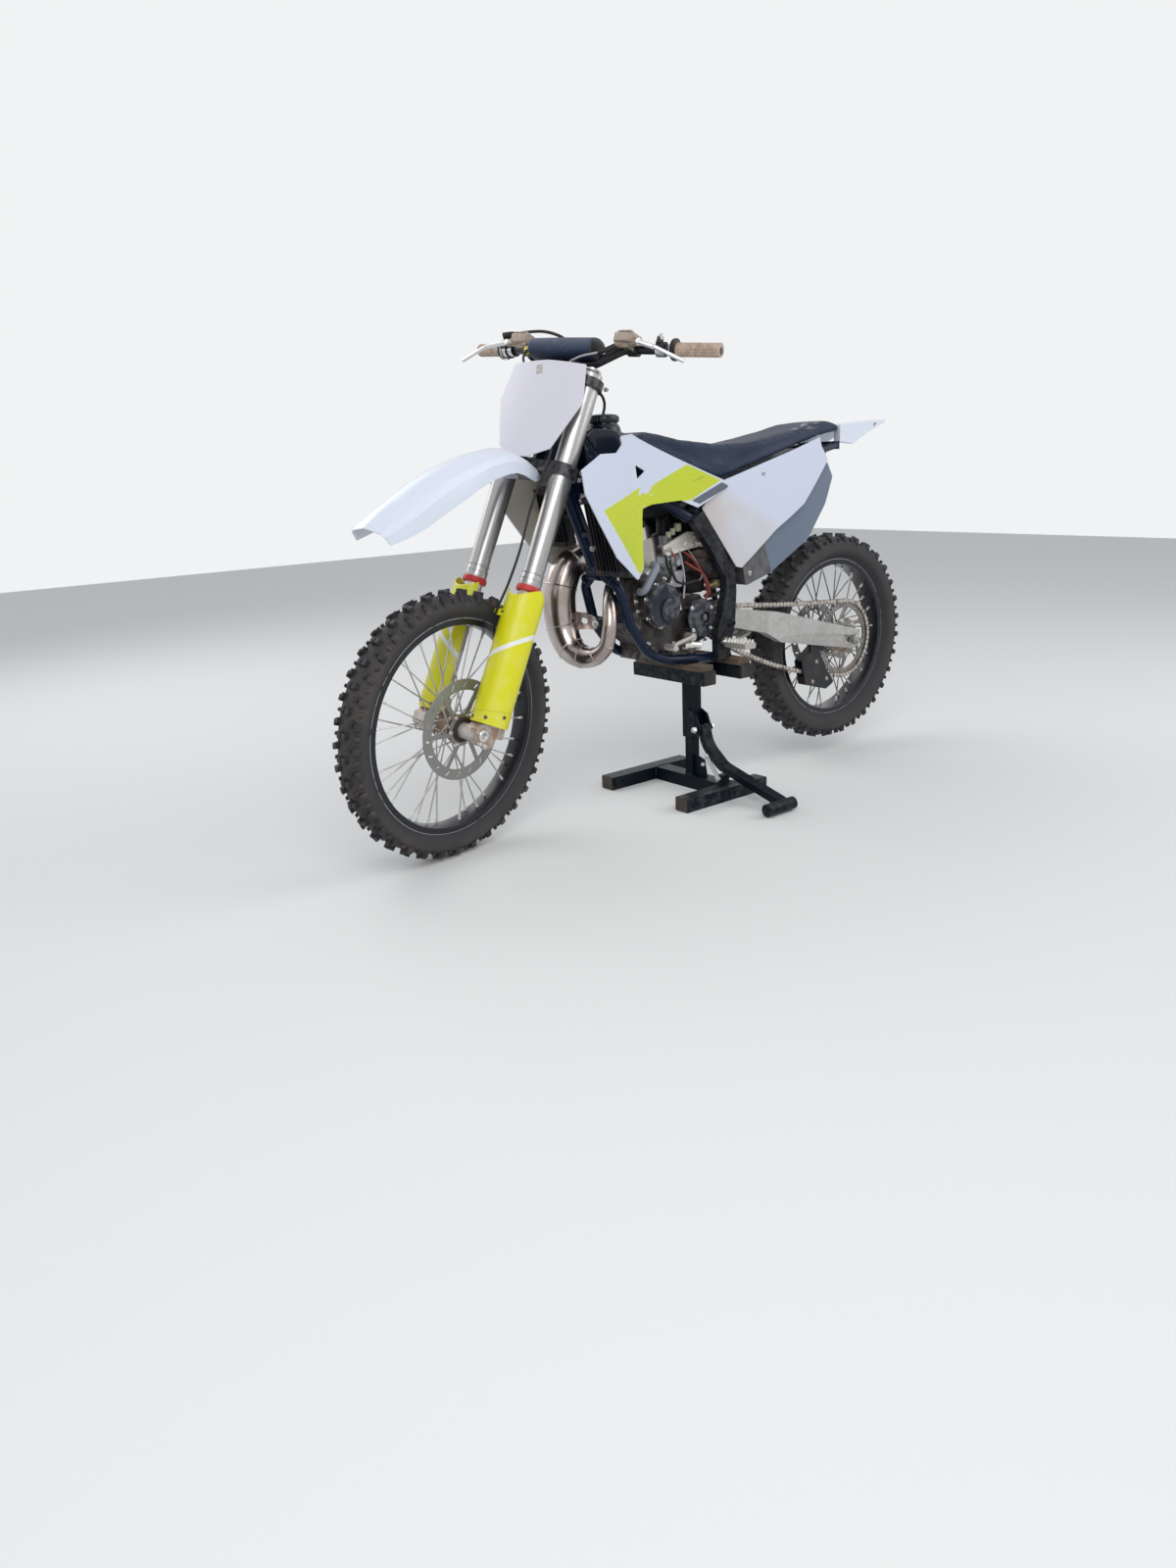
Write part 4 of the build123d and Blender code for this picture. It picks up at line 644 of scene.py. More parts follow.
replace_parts(rear_sprocket, "rear_sprocket")
arm_turn = (np.arange(6)[:, None] * pi / 3 + 0.3 + np.linspace(0, 0.35, 9)[None])[..., None]
arm_reach = np.linspace(0.062, 0.104, 9)
arm_wide = np.array([0.0115, 0.0095, 0.0075, 0.0065, 0.0060, 0.0062, 0.0070, 0.0090, 0.0120])
corners_of_arm = np.array([(1, 0.0693), (1, 0.0747), (-1, 0.0747), (-1, 0.0693)])
beside = arm_wide[:, None] * corners_of_arm[:, 0]
arm_x = rear_x + (arm_reach[:, None] * np.cos(arm_turn) - np.sin(arm_turn) * beside)
arm_z = rear_z + (arm_reach[:, None] * np.sin(arm_turn) + np.cos(arm_turn) * beside)
arms = np.stack((arm_x, np.broadcast_to(corners_of_arm[:, 1], arm_x.shape), arm_z), axis=-1)
arm_poles = [np.broadcast_to(arms[:, i].mean(axis=1)[:, None, None], (6, 1, 4, 3)) for i in (0, -1)]
arms = np.concatenate((arm_poles[0], arms, arm_poles[1]), axis=1)
shown(surface("sprocket_arms", arms, closed=(False, True)), sprocket_steel, "rear_wheel",
      0.0005)


def ring_of(middle, radius, count, start=0.0):
    """Places spread evenly on a circle that faces sideways: middle + radius x the
    cosine of each turn ahead and its sine up."""
    turn = start + np.arange(count) * 2 * pi / count
    x, y, z = middle
    return np.stack((x + radius * np.cos(turn), np.full(count, y), z + radius * np.sin(turn)), axis=-1)


bolts("rear_sprocket_bolts", ring_of((rear_x, 0.0749, rear_z), 0.058, 6, 0.3), (0, 1, 0), 0.0075, 0.006,
      roller_steel, "rear_wheel", 6)


def rusty_dirt(place, colour):
    """Brown mud baked on black plastic, at the front of the guide."""
    ahead = fade(node_out("ShaderNodeSeparateXYZ", 0, Vector=place), -0.505, -0.465)
    mud = times(fade(noise(place, 16.0, 5.0), 0.46, 0.60), ahead)
    return blended(times(mud, 0.5), colour, (0.075, 0.042, 0.031))


guide_plastic = finish("guide_plastic", (0.014, 0.016, 0.020), 0.4, amount=0.05, dust=(0.12, 0.09, 0.075),
                       shine=0.3, paint=rusty_dirt)
dressed("chain_guide", guide_plastic, 0.003)
bolts("chain_guide_bolts", [(-0.470, 0.0882, 0.330), (-0.452, 0.0882, 0.268), (-0.521, 0.0882, 0.268)],
      (0, 1, 0), 0.007, 0.004, axle_steel, "chassis", 6)


# Shock
#
# A damper body and a coil spring between two seats, hung from the frame and held
# below by a link that runs back under the swingarm.

def smooth_line(route, count):
    """Points on a smooth curve through all of route, whose rows may carry a radius
    too. Each stretch is a cubic, with the slope at a point half the step between
    its neighbours."""
    route = np.asarray(route, float)
    padded = np.vstack((2 * route[0] - route[1], route, 2 * route[-1] - route[-2]))
    t = np.linspace(0, len(route) - 1, count)
    i = np.minimum(t.astype(int), len(route) - 2)
    f = (t - i)[:, None]
    a, b, c, d = (padded[i + k] for k in range(4))
    return b + 0.5 * f * (c - a + f * (2 * a - 5 * b + 4 * c - d + f * (3 * (b - c) + d - a)))


def skin_of(name, line, rings):
    """A surface through the rings that stand on a line of points, closed by points at
    the line's two ends."""
    start, end = (np.broadcast_to(line[i], (1, *rings.shape[1:])) for i in (0, -1))
    return surface(name, np.concatenate((start, rings, end)), closed=(False, True))


def tube_along(name, line, radius, material, body, sides=12, axis=None, sharp=50.0):
    """A round tube along a line of points. Each ring is square to the line and set by the
    axis that the line winds round, or else by the direction that the line as a whole
    keeps clear of."""
    run = np.gradient(line, axis=0)
    run /= np.linalg.norm(run, axis=1, keepdims=True)
    one = np.cross(run, np.linalg.svd(run)[2][-1] if axis is None else axis)
    one /= np.linalg.norm(one, axis=1, keepdims=True)
    radius = np.reshape(np.broadcast_to(radius, len(line)), (-1, 1, 1))
    rings = line[:, None] + circles(one, np.cross(run, one), sides) * radius
    return shown(skin_of(name, line, rings), material, body, 0.0, sharp)


def wound(start, end, share, turn, radius):
    """Points wound round a run: start + share x run + radius x the circle at each turn."""
    run = end - start
    out, side = across(run)
    circle = out * np.cos(turn)[:, None] + side * np.sin(turn)[:, None]
    return start + run * share[:, None] + radius * circle


shock_low, shock_high = np.array([-0.135, 0.0, 0.425]), np.array([-0.036, 0.0, 0.850])
shock_black = finish("shock_black", (0.02, 0.02, 0.022), 0.4, amount=0.6, dust=(0.16, 0.13, 0.10))
damper = [(0.0, 0.011), (0.10, 0.011), (0.10, 0.020), (0.20, 0.020), (0.20, 0.0335), (0.235, 0.0335),
          (0.235, 0.009), (0.52, 0.009), (0.52, 0.024), (0.64, 0.024), (0.64, 0.0345), (0.67, 0.0345),
          (0.67, 0.0275), (0.93, 0.0275), (0.95, 0.014), (1.0, 0.014)]
shaft = turned("shock_body", [shock_low], [shock_high], damper, shock_black, "chassis", 28, bevel=0.001)
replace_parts(shaft, "shock")
turned("shock_link", [(-0.135, -0.034, 0.425), (-0.135, 0.028, 0.425), (-0.135, -0.028, 0.425)],
       [(-0.135, 0.034, 0.425), (-0.224, 0.028, 0.454), (-0.224, -0.028, 0.454)],
       [(0, 0.6), (0.02, 1.0), (0.98, 1.0), (1, 0.6)], arm_alloy, "chassis", 16, sizes=(0.014, 0.008, 0.008))
turns = np.linspace(0, 8.4 * 2 * pi, 340)
spring_share = np.interp(turns, [0, 0.7 * 2 * pi, 7.7 * 2 * pi, 8.4 * 2 * pi], [0.248, 0.262, 0.620, 0.634])
spring_paint = finish("spring_paint", (0.10, 0.10, 0.11), 0.35, amount=0.3, dust=(0.10, 0.07, 0.05))
tube_along("shock_spring", wound(shock_low, shock_high, spring_share, turns, 0.0275), 0.0055, spring_paint,
           "chassis", 8, shock_high - shock_low, 60.0)


# Engine
#
# Cast aluminium cases with baked-on oil and dust, their grey set near black as painted
# shade where they sit behind the frame, under black painted covers, held by small
# bright bolts. The head stays are bare plate.

# Brown and black stains over grey casting.
oil_stain = patchy(26.0, 5.0, 0.40, 0.62, 1.0, (0.026, 0.021, 0.019))
# The casting's grey is set near black: painted shade for the case behind the frame, with the oil stains over
# it.
case_alloy_in_painted_shade = finish("case_alloy_in_painted_shade", (0.070, 0.068, 0.070), 0.45, metallic=0.6, amount=0.25, low=0.4, high=0.8,
                    dust=(0.10, 0.075, 0.060), shine=0.3, bare=(0.4, 0.39, 0.37), wear=0.6, bump=0.0006,
                    paint=oil_stain)
dressed("engine_cases", case_alloy_in_painted_shade, 0.002)
carb_alloy = finish("carb_alloy", (0.46, 0.48, 0.52), 0.4, metallic=0.5, amount=0.4, low=0.5, high=0.8,
                    dust=(0.22, 0.17, 0.13), bare=(0.7, 0.7, 0.7), wear=0.5)
dressed("carburettor", carb_alloy, 0.002)


def cast_with_stays(place, colour):
    """Dark casting, with the pale bare plate of the stays outside it."""
    plate = fade(sums("ABSOLUTE", node_out("ShaderNodeSeparateXYZ", 1, Vector=place)), 0.0518, 0.0522)
    return blended(plate, colour, (0.66, 0.63, 0.56))


cylinder_alloy = finish("cylinder_alloy", (0.11, 0.105, 0.10), 0.42, metallic=0.6, amount=0.25, low=0.5,
                        high=0.85, dust=(0.14, 0.11, 0.09), bare=(0.8, 0.78, 0.74), wear=0.5,
                        paint=cast_with_stays)
dressed("cylinder", cylinder_alloy, 0.0015)

# Black paint gone brown and grey in soft patches.
boot_worn = patchy(20.0, 3.0, 0.50, 0.72, 0.4, (0.060, 0.055, 0.058))
cover_paint = finish("cover_paint", (0.009, 0.014, 0.026), 0.33, amount=0.05, dust=(0.11, 0.09, 0.08),
                     shine=0.28, bare=(0.35, 0.34, 0.33), wear=0.5, paint=boot_worn)
dressed("engine_covers", cover_paint, 0.003)
hose_rubber = finish("hose_rubber", (0.20, 0.225, 0.28), 0.40, amount=0.25, low=0.5, high=0.8)
dressed("coolant_hose", hose_rubber, 0.0)
bolt_steel = finish("bolt_steel", (0.72, 0.71, 0.69), 0.25, metallic=1.0, amount=0.15)
bolts("ignition_cover_bolts", ring_of((0.195, 0.0858, 0.584), 0.0615, 7, radians(20)), (0, 1, 0), 0.0052,
      0.009, bolt_steel, "chassis")
case_bolts = [(x, 0.0615, z) for x, z in ((0.262, 0.572), (0.268, 0.600), (0.226, 0.478), (0.150, 0.456),
                                         (0.128, 0.466), (0.118, 0.448), (0.074, 0.452), (0.006, 0.462),
                                         (-0.006, 0.560), (0.112, 0.596), (0.138, 0.640), (0.160, 0.652))]
bolts("case_bolts", case_bolts, (0, 1, 0), 0.0055, 0.008, bolt_steel, "chassis")
cover_screws = [(x, 0.0873, z) for x, z in ((0.074, 0.498), (0.078, 0.562), (0.004, 0.498), (0.000, 0.556))]
bolts("sprocket_cover_bolts", cover_screws, (0, 1, 0), 0.006, 0.005, bolt_steel, "chassis")
stay_bolts = [(0.137, 0.0598, 0.731), (0.037, 0.0598, 0.758), (0.044, 0.0598, 0.736), (0.155, 0.0598, 0.727)]
bolts("stay_bolts", stay_bolts, (0, 1, 0), 0.0075, 0.006, axle_steel, "chassis")
bolts("clutch_cover_bolts", ring_of((0.088, -0.1035, 0.566), 0.064, 8), (0, -1, 0), 0.005, 0.006, bolt_steel,
      "chassis")
turned("starter_gear_shaft", [(0.112, 0.086, 0.461)], [(0.060, 0.099, 0.455)],
       [(0, 0.012), (0.05, 0.0135), (0.5, 0.0135), (0.55, 0.0115), (1, 0.0115), (1, 0.006), (0.9, 0.006)],
       bolt_steel, "chassis", 20, bevel=0.0008)
turned("cable_adjuster", [(0.118, 0.066, 0.612)], [(0.106, 0.070, 0.560)],
       [(0, 0.0035), (0.25, 0.0035), (0.25, 0.006), (0.5, 0.006), (0.5, 0.0045), (1, 0.0045)], bolt_steel,
       "chassis", 12)
brass = finish("brass", (0.52, 0.43, 0.22), 0.35, metallic=0.8, amount=0.4)
turned("drain_tap", [(-0.018, 0.056, 0.613)], [(-0.088, 0.072, 0.628)],
       [(0, 0.005), (0.3, 0.005), (0.3, 0.011), (0.45, 0.011), (0.45, 0.009), (0.6, 0.009), (0.6, 0.0125),
        (0.72, 0.0125), (0.72, 0.009), (0.85, 0.009), (0.85, 0.012), (1, 0.012)], brass, "chassis", 14,
       bevel=0.0006)
pale_green = finish("pale_green", (0.48, 0.55, 0.36), 0.5, amount=0.35)
cushion_box("wire_connectors", [(0.115, 0.034, 0.768), (0.098, 0.034, 0.776), (0.078, 0.034, 0.787)],
            [(0.005, 0.007, 0.009), (0.005, 0.007, 0.010), (0.008, 0.009, 0.012)], pale_green, "chassis",
            0.4)
case_rubber = finish("black_rubber", (0.011, 0.011, 0.014), 0.5, amount=0.12, shine=0.3)
cushion_box("coil_and_wiring", [(0.120, -0.022, 0.842), (0.035, -0.022, 0.786), (-0.028, -0.022, 0.625)],
            [(0.055, 0.018, 0.026), (0.065, 0.018, 0.032), (0.038, 0.020, 0.037)], case_rubber, "chassis",
            0.3)
red_sheath = finish("red_sheath", (0.30, 0.030, 0.022), 0.45, amount=0.5, dust=(0.16, 0.10, 0.08))
grey_sheath = finish("grey_sheath", (0.34, 0.34, 0.36), 0.45, amount=0.4)
small_hoses = (  # name, radius, finish and the places it runs through
    ("vent_hose_a", 0.0028, grey_sheath, [(0.096, 0.040, 0.740), (0.098, 0.060, 0.722), (0.088, 0.063, 0.680),
                                          (0.082, 0.063, 0.640), (0.090, 0.066, 0.590)]),
    ("vent_hose_b", 0.0038, case_rubber, [(0.132, 0.056, 0.700), (0.130, 0.066, 0.665), (0.116, 0.068, 0.640),
                                          (0.085, 0.068, 0.632), (0.050, 0.066, 0.634),
                                          (0.026, 0.064, 0.636)]),
    ("vent_hose_c", 0.0040, case_rubber, [(0.150, 0.060, 0.716), (0.152, 0.067, 0.690), (0.140, 0.068, 0.660),
                                          (0.150, 0.066, 0.640)]),
    ("wire_red_a", 0.0032, red_sheath, [(0.070, 0.040, 0.722), (0.046, 0.056, 0.700), (0.018, 0.060, 0.668),
                                        (0.000, 0.060, 0.636), (-0.012, 0.060, 0.600),
                                        (-0.006, 0.058, 0.570)]),
    ("wire_red_b", 0.0036, red_sheath, [(0.062, 0.044, 0.690), (0.040, 0.058, 0.672), (0.012, 0.064, 0.655),
                                        (-0.008, 0.066, 0.622), (-0.018, 0.062, 0.590)]),
    ("wire_red_c", 0.0024, red_sheath, [(0.140, 0.052, 0.745), (0.128, 0.062, 0.722), (0.116, 0.064, 0.704)]),
    ("wire_grey", 0.0022, grey_sheath, [(0.052, 0.040, 0.730), (0.026, 0.052, 0.690), (0.010, 0.060, 0.650),
                                        (0.026, 0.066, 0.634)]),
)
for name, radius, made, route in small_hoses:
    tube_along(name, smooth_line(route, 40), radius, made, "chassis", 10)

# Black rubber stained brown where the air filter's oil has crept.
boot_grime = patchy(13.0, 4.0, 0.45, 0.65, 0.8, (0.060, 0.038, 0.028))
boot_rubber = finish("boot_rubber", (0.012, 0.012, 0.017), 0.36, amount=0.10, shine=0.35, paint=boot_grime)
dressed("intake_boot", boot_rubber, 0.001, 50.0)
collars("boot_clamp", [(0.056, 0.0003, 0.7008), (-0.048, 0.060, 0.7185)], [(-1, 0.03, 0.1), (-1, 0, 0.2)],
        [0.0272, 0.0272], 0.009, 0.06, axle_steel, "chassis")
duct = smooth_line([(0.020, 0.012, 0.694, 0.0270, 0.036), (-0.020, 0.038, 0.688, 0.0275, 0.047),
                    (-0.062, 0.054, 0.680, 0.0275, 0.051), (-0.104, 0.058, 0.668, 0.0270, 0.050)], 60)
duct_line = duct[:, :3]
duct_up = np.cross(np.gradient(duct_line, axis=0), (0, 1, 0))
duct_up /= -np.linalg.norm(duct_up, axis=1, keepdims=True)
ribs = 1 + 0.045 * np.maximum(0, np.cos(np.linspace(0, 5 * 2 * pi, 60)))[:, None, None]
ovals = circles(np.array([0, 1, 0]) * duct[:, 3:4], duct_up * duct[:, 4:5], 40)
air_duct = skin_of("air_duct", duct_line, duct_line[:, None] + ribs * ovals)
shown(air_duct, boot_rubber, "chassis", 0.0, 50.0)
small_alloy = finish("small_alloy", (0.50, 0.49, 0.47), 0.42, metallic=0.9, amount=0.4, bare=(0.7, 0.7, 0.7),
                     wear=0.5)
for node in ("gear_lever", "brake_pedal", "kick_starter"):
    dressed(node, small_alloy, 0.001)


# Footpegs
#
# Cast steel pegs on hinge pins under the frame's uprights, with rows of sharp teeth
# that hold the boot.

dressed("footpegs", small_alloy, 0.001)
rows = [(-0.047, 0.0), (-0.037, 0.5), (-0.019, 0.5), (-0.009, 0.0)]
teeth = np.array([(x, side * (0.137 + 0.0115 * (i + shift)), 0.4595) for side in (1, -1) for x, shift in rows
                  for i in range(7)])
turned("footpeg_teeth", teeth, teeth + [0, 0, 0.009], [(0, 0.0048), (0.9, 0.0022), (1, 0.0015)], small_alloy,
       "chassis", 4)
turned("footpeg_pins", pair(-0.050, 0.126, 0.458), pair(-0.004, 0.126, 0.458), [(0, 0.0055), (1, 0.0055)],
       bolt_steel, "chassis", 12)


# Exhaust
#
# A welded expansion chamber of thin steel, nickel grey turned brown by heat and
# scratched by stones, with a plate bracket. Its silencer is an oval aluminium can.

def heat_tints(place, colour):
    """Brown and straw tints in cloudy bands over nickel grey, with fine scratches."""
    clouds = noise(place, 9.0, 4.0, (1.0, 1.0, 0.6))
    tinted = blended(fade(clouds, 0.36, 0.66), colour, (0.40, 0.335, 0.305))
    scratches = fade(noise(place, 300.0, 2.0, (1.0, 1.0, 0.12)), 0.60, 0.8)
    marked = blended(times(scratches, 0.15), tinted, (0.70, 0.67, 0.64))
    pits = fade(noise(place, 46.0, 1.0), 0.74, 0.78)
    return blended(times(pits, 0.6), marked, (0.12, 0.08, 0.06))


pipe_steel = finish("pipe_steel", (0.60, 0.565, 0.55), 0.22, metallic=1.0, amount=0.08, low=0.4, high=0.8,
                    dust=(0.20, 0.15, 0.12), bump=0.00004, paint=heat_tints)
pipe_route = np.array([
    (0.270, 0.000, 0.6870, 0.020), (0.285, 0.002, 0.6780, 0.020), (0.322, 0.024, 0.640, 0.020),
    (0.353, 0.051, 0.596, 0.020), (0.370, 0.068, 0.545, 0.020), (0.377, 0.060, 0.492, 0.021),
    (0.387, 0.028, 0.462, 0.025), (0.396, -0.018, 0.456, 0.032), (0.402, -0.064, 0.474, 0.039),
    (0.404, -0.094, 0.520, 0.044), (0.404, -0.106, 0.580, 0.046), (0.397, -0.108, 0.640, 0.046),
    (0.366, -0.106, 0.694, 0.045), (0.300, -0.098, 0.723, 0.043), (0.240, -0.101, 0.728, 0.042),
    (0.150, -0.118, 0.724, 0.037), (0.050, -0.150, 0.726, 0.030), (-0.030, -0.156, 0.734, 0.024),
    (-0.096, -0.146, 0.748, 0.020)])
pipe_rings = 190
pipe_line = smooth_line(pipe_route, pipe_rings)


def bracket_only(corners):
    """Keeps the flat bracket's corners and drops the pipe's."""
    on_plate = (corners[:, 0] > 0.3718) & (corners[:, 0] < 0.3762)
    from_pipe = np.linalg.norm(corners[:, None] - pipe_line[None, :, :3], axis=2) - pipe_line[None, :, 3]
    return on_plate & ((from_pipe.min(axis=1) > -0.006) | (corners[:, 1] > -0.09))


dressed("exhaust_chamber", pipe_steel, 0.0008, keep=bracket_only)
pipe_run = np.gradient(pipe_line[:, :3], axis=0)
tube_along("exhaust_pipe", pipe_line[:, :3], pipe_line[:, 3], pipe_steel, "chassis", 44)
seams = (1.6, 3.4, 5.0, 6.0, 7.0, 8.0, 9.2, 11.0, 12.3, 14.0, 15.0, 16.0, 17.0)  # in steps of the route
bead_at = [int(round(i / (len(pipe_route) - 1) * (pipe_rings - 1))) for i in seams]
collars("exhaust_welds", pipe_line[bead_at, :3], pipe_run[bead_at], pipe_line[bead_at, 3] * 0.995, 0.0045,
        0.05, pipe_steel, "chassis", 40)
springs = np.array([((0.2905, 0.020, 0.690), (0.316, 0.041, 0.660)),
                    ((0.2850, -0.018, 0.690), (0.318, 0.000, 0.652))])
wind = np.linspace(0, 13 * 2 * pi, 200)
for number, (start, end) in enumerate(springs):
    tube_along("exhaust_spring_%d" % number, wound(start, end, wind / wind[-1], wind, 0.0036), 0.0011,
               bolt_steel, "chassis", 6, end - start, 60.0)
turned("exhaust_mount_rubber", [(0.3665, 0.012, 0.548)], [(0.3718, 0.012, 0.548)],
       [(0, 0.010), (0.1, 0.0125), (0.9, 0.0125), (1, 0.010)], case_rubber, "chassis", 20)
bolts("exhaust_mount_bolt", [(0.376, 0.012, 0.548)], [(1, 0, 0)], 0.009, 0.006, bolt_steel, "chassis", 14)

# Fine lengthwise brushing on the can.
brushed_can = patchy(200.0, 2.0, 0.35, 0.7, 1.0, (0.42, 0.41, 0.40), (0.06, 1.0, 1.0))
can_alloy = finish("can_alloy", (0.60, 0.59, 0.57), 0.36, metallic=1.0, amount=0.25, paint=brushed_can)
dressed("silencer", can_alloy, 0.001)
can_from, can_to = pipe_route[-1, :3] + np.array([-0.0752, 0.0114, 0.016]), np.array([-0.545, -0.140, 0.872])
can_run = (can_to - can_from) / np.linalg.norm(can_to - can_from)
oval = circles(np.array([0.0, 0.033, 0.0]), np.cross(can_run, (0, 1, 0)) * 0.048, 48)
levels = np.array([(-0.008, 1.005), (-0.007, 1.05), (0.007, 1.05), (0.008, 1.005)])  # along, share of oval
for name, share in (("silencer_strap_front", 0.06), ("silencer_strap_rear", 0.93)):
    middle = can_from + (can_to - can_from) * share
    strap = surface(name, middle + can_run * levels[:, :1, None] + oval[None] * levels[:, 1:, None],
                    closed=(False, True))
    shown(strap, can_alloy, "chassis")


# Radiators
#
# Two cores behind dusty louvres, dark with mud between the blades, on a short hose to
# the head.

# Dark core with brown mud dried on the edges of the blades.
muddy_core = patchy(35.0, 4.0, 0.45, 0.62, 0.7, (0.060, 0.046, 0.040), (1.0, 1.0, 0.4))
core_alloy = finish("core_alloy", (0.010, 0.011, 0.015), 0.5, amount=0.08, dust=(0.12, 0.09, 0.07),
                    shine=0.25, paint=muddy_core)
dressed("radiators", core_alloy, 0.0006)
bolts("radiator_bolt", [(0.4165, 0.0675, 0.756)], [(1, 0, 0)], 0.0085, 0.008, axle_steel, "chassis")
radiator_route = [(0.390, 0.075, 0.880), (0.352, 0.066, 0.868), (0.300, 0.040, 0.822), (0.262, 0.012, 0.792),
                  (0.232, 0.002, 0.774)]
tube_along("radiator_hose", smooth_line(radiator_route, 50), 0.012, case_rubber, "chassis", 18)


# Shrouds, side panels and fenders
#
# Glossy moulded plastic, white with a blue cast, with a yellow band and a grey patch
# on each shroud. Boots have rubbed beige dust into the side panels.

def inside(place, corners, u=(1, 0, 0), v=(0, 0, 1), origin=(0, 0, 0), soft=0.0007):
    """1 inside a convex outline and 0 outside. Its corners are lengths along u and v
    from the origin. It is the product of one soft half-plane for each edge."""
    middle = np.mean(corners, axis=0)
    u, v, origin = (np.array(part, float) for part in (u, v, origin))
    share = None
    for (u0, v0), (u1, v1) in zip(corners, corners[1:] + corners[:1]):
        out_u, out_v = (v1 - v0), (u0 - u1)
        size = np.hypot(out_u, out_v)
        if (middle[0] - u0) * out_u + (middle[1] - v0) * out_v > 0:
            size = -size
        out_u, out_v = out_u / size, out_v / size
        edge_at = out_u * u0 + out_v * v0 + float((out_u * u + out_v * v) @ origin)
        away = arrows("DOT_PRODUCT", place, tuple(out_u * u + out_v * v))
        edge = fade(away, edge_at + soft, edge_at - soft)
        share = edge if share is None else times(share, edge)
    return share


white, yellow, patch_grey = (0.58, 0.63, 0.75), (0.54, 0.60, 0.015), (0.095, 0.115, 0.150)
upper_band = [(0.133, 0.962), (-0.014, 0.911), (0.109, 0.864), (0.306, 0.856), (0.318, 0.893), (0.261, 0.912)]
lower_band = [(0.478, 0.858), (0.318, 0.908), (0.306, 0.852), (0.3145, 0.700), (0.330, 0.684)]
grey_patch = [(-0.020, 0.9055), (-0.052, 0.892), (0.074, 0.851), (0.106, 0.862)]
pen_line = [(0.094, 0.914), (0.056, 0.924), (0.057, 0.9225), (0.095, 0.9125)]


def shroud_colours(place, colour):
    """A yellow band in two runs with a scraped white patch between them, a thin dark
    line, the grey patch behind, and pale dust along the lower edge."""
    scraped = fade(noise(place, 30.0, 4.0, (1.0, 0.0, 1.0)), 0.52, 0.60)
    near = fade(arrows("DISTANCE", arrows("MULTIPLY", place, (1, 0, 1)), (0.296, 0, 0.918)), 0.055, 0.020)
    kept = sums("SUBTRACT", 1.0, fade(sums("ADD", near, times(scraped, 0.4)), 0.72, 0.85))
    upper = times(inside(place, upper_band), kept)
    lower = times(inside(place, lower_band), kept)
    band = blended(fade(noise(place, 5.0), 0.3, 0.7), yellow, (0.47, 0.565, 0.022))
    made = blended(sums("MAXIMUM", upper, lower), colour, band)
    made = blended(inside(place, pen_line, soft=0.0004), made, (0.05, 0.06, 0.03))
    return blended(inside(place, grey_patch), made, patch_grey)


def boot_rub(place, colour):
    """Beige rubbed into the lower front of the side panel, below its fold, and a brown
    line of dirt along the fold."""
    below = fade(arrows("DOT_PRODUCT", place, (0.48, 0.0, -0.877)), -0.815, -0.765)
    cloud = fade(noise(place, 4.0, 5.0), 0.25, 0.62)
    rubbed = blended(times(below, cloud, 0.62), colour, (0.56, 0.50, 0.44))
    front = fade(arrows("DOT_PRODUCT", place, (0.78, 0.0, -0.62)), -0.560, -0.520)
    return blended(times(front, cloud, 0.35), rubbed, (0.42, 0.33, 0.26))


plastic_dust = (0.46, 0.41, 0.34)
white_plastic = finish("white_plastic", (0.66, 0.71, 0.80), 0.30, dust=plastic_dust, amount=0.06, low=0.45,
                       high=0.9, bump=0.00002)
shroud_plastic = finish("shroud_plastic", white, 0.28, dust=plastic_dust, amount=0.04, low=0.6, high=0.9,
                        bump=0.00002, paint=shroud_colours)
panel_plastic = finish("panel_plastic", white, 0.32, dust=plastic_dust, amount=0.06, low=0.6, high=0.95,
                       bump=0.00002, paint=boot_rub)
inner_plastic = finish("inner_plastic", (0.54, 0.50, 0.44), 0.45, dust=plastic_dust, amount=0.3)


def far_side_in(mesh):
    """The far shroud's inner face, bare and dusty, is the second material."""
    return of_faces(mesh, "normal")[:, 1] > 0.3


dressed("rear_fender", white_plastic, 0.0012)
dressed("front_fender", white_plastic, 0.0012, 24.0)
dressed("shroud_left", shroud_plastic, 0.0014)
dressed("shroud_right", shroud_plastic, 0.0014, more=(inner_plastic,), choose=far_side_in)
for node in ("side_panel_left", "side_panel_right"):
    dressed(node, panel_plastic, 0.0014)
bolts("side_panel_screws", pair(-0.190, 0.1141, 0.922), pair(0, 1, 0), 0.0075, 0.003, axle_steel, "chassis")
bolts("shroud_screws", pair(0.410, 0.1711, 0.838), pair(0, 1, 0), 0.0078, 0.003, axle_steel, "chassis")


# Tank
#
# A moulded plastic tank, black and domed in front under a ringed screw cap, and bare
# natural plastic below, with a vent hose from the cap to the steering stem.

def tank_colours(place, colour):
    """Black above, and the bare natural plastic below the shrouds."""
    level, ahead = (node_out("ShaderNodeSeparateXYZ", i, Vector=place) for i in (2, 0))
    low = times(fade(level, 0.906, 0.900), fade(ahead, 0.262, 0.258))
    return blended(low, colour, (0.33, 0.30, 0.265))


def corners_of(mesh):
    """The places of a mesh's corners, as an array."""
    places = np.empty(len(mesh.vertices) * 3)
    mesh.vertices.foreach_get("co", places)
    return places.reshape(-1, 3)


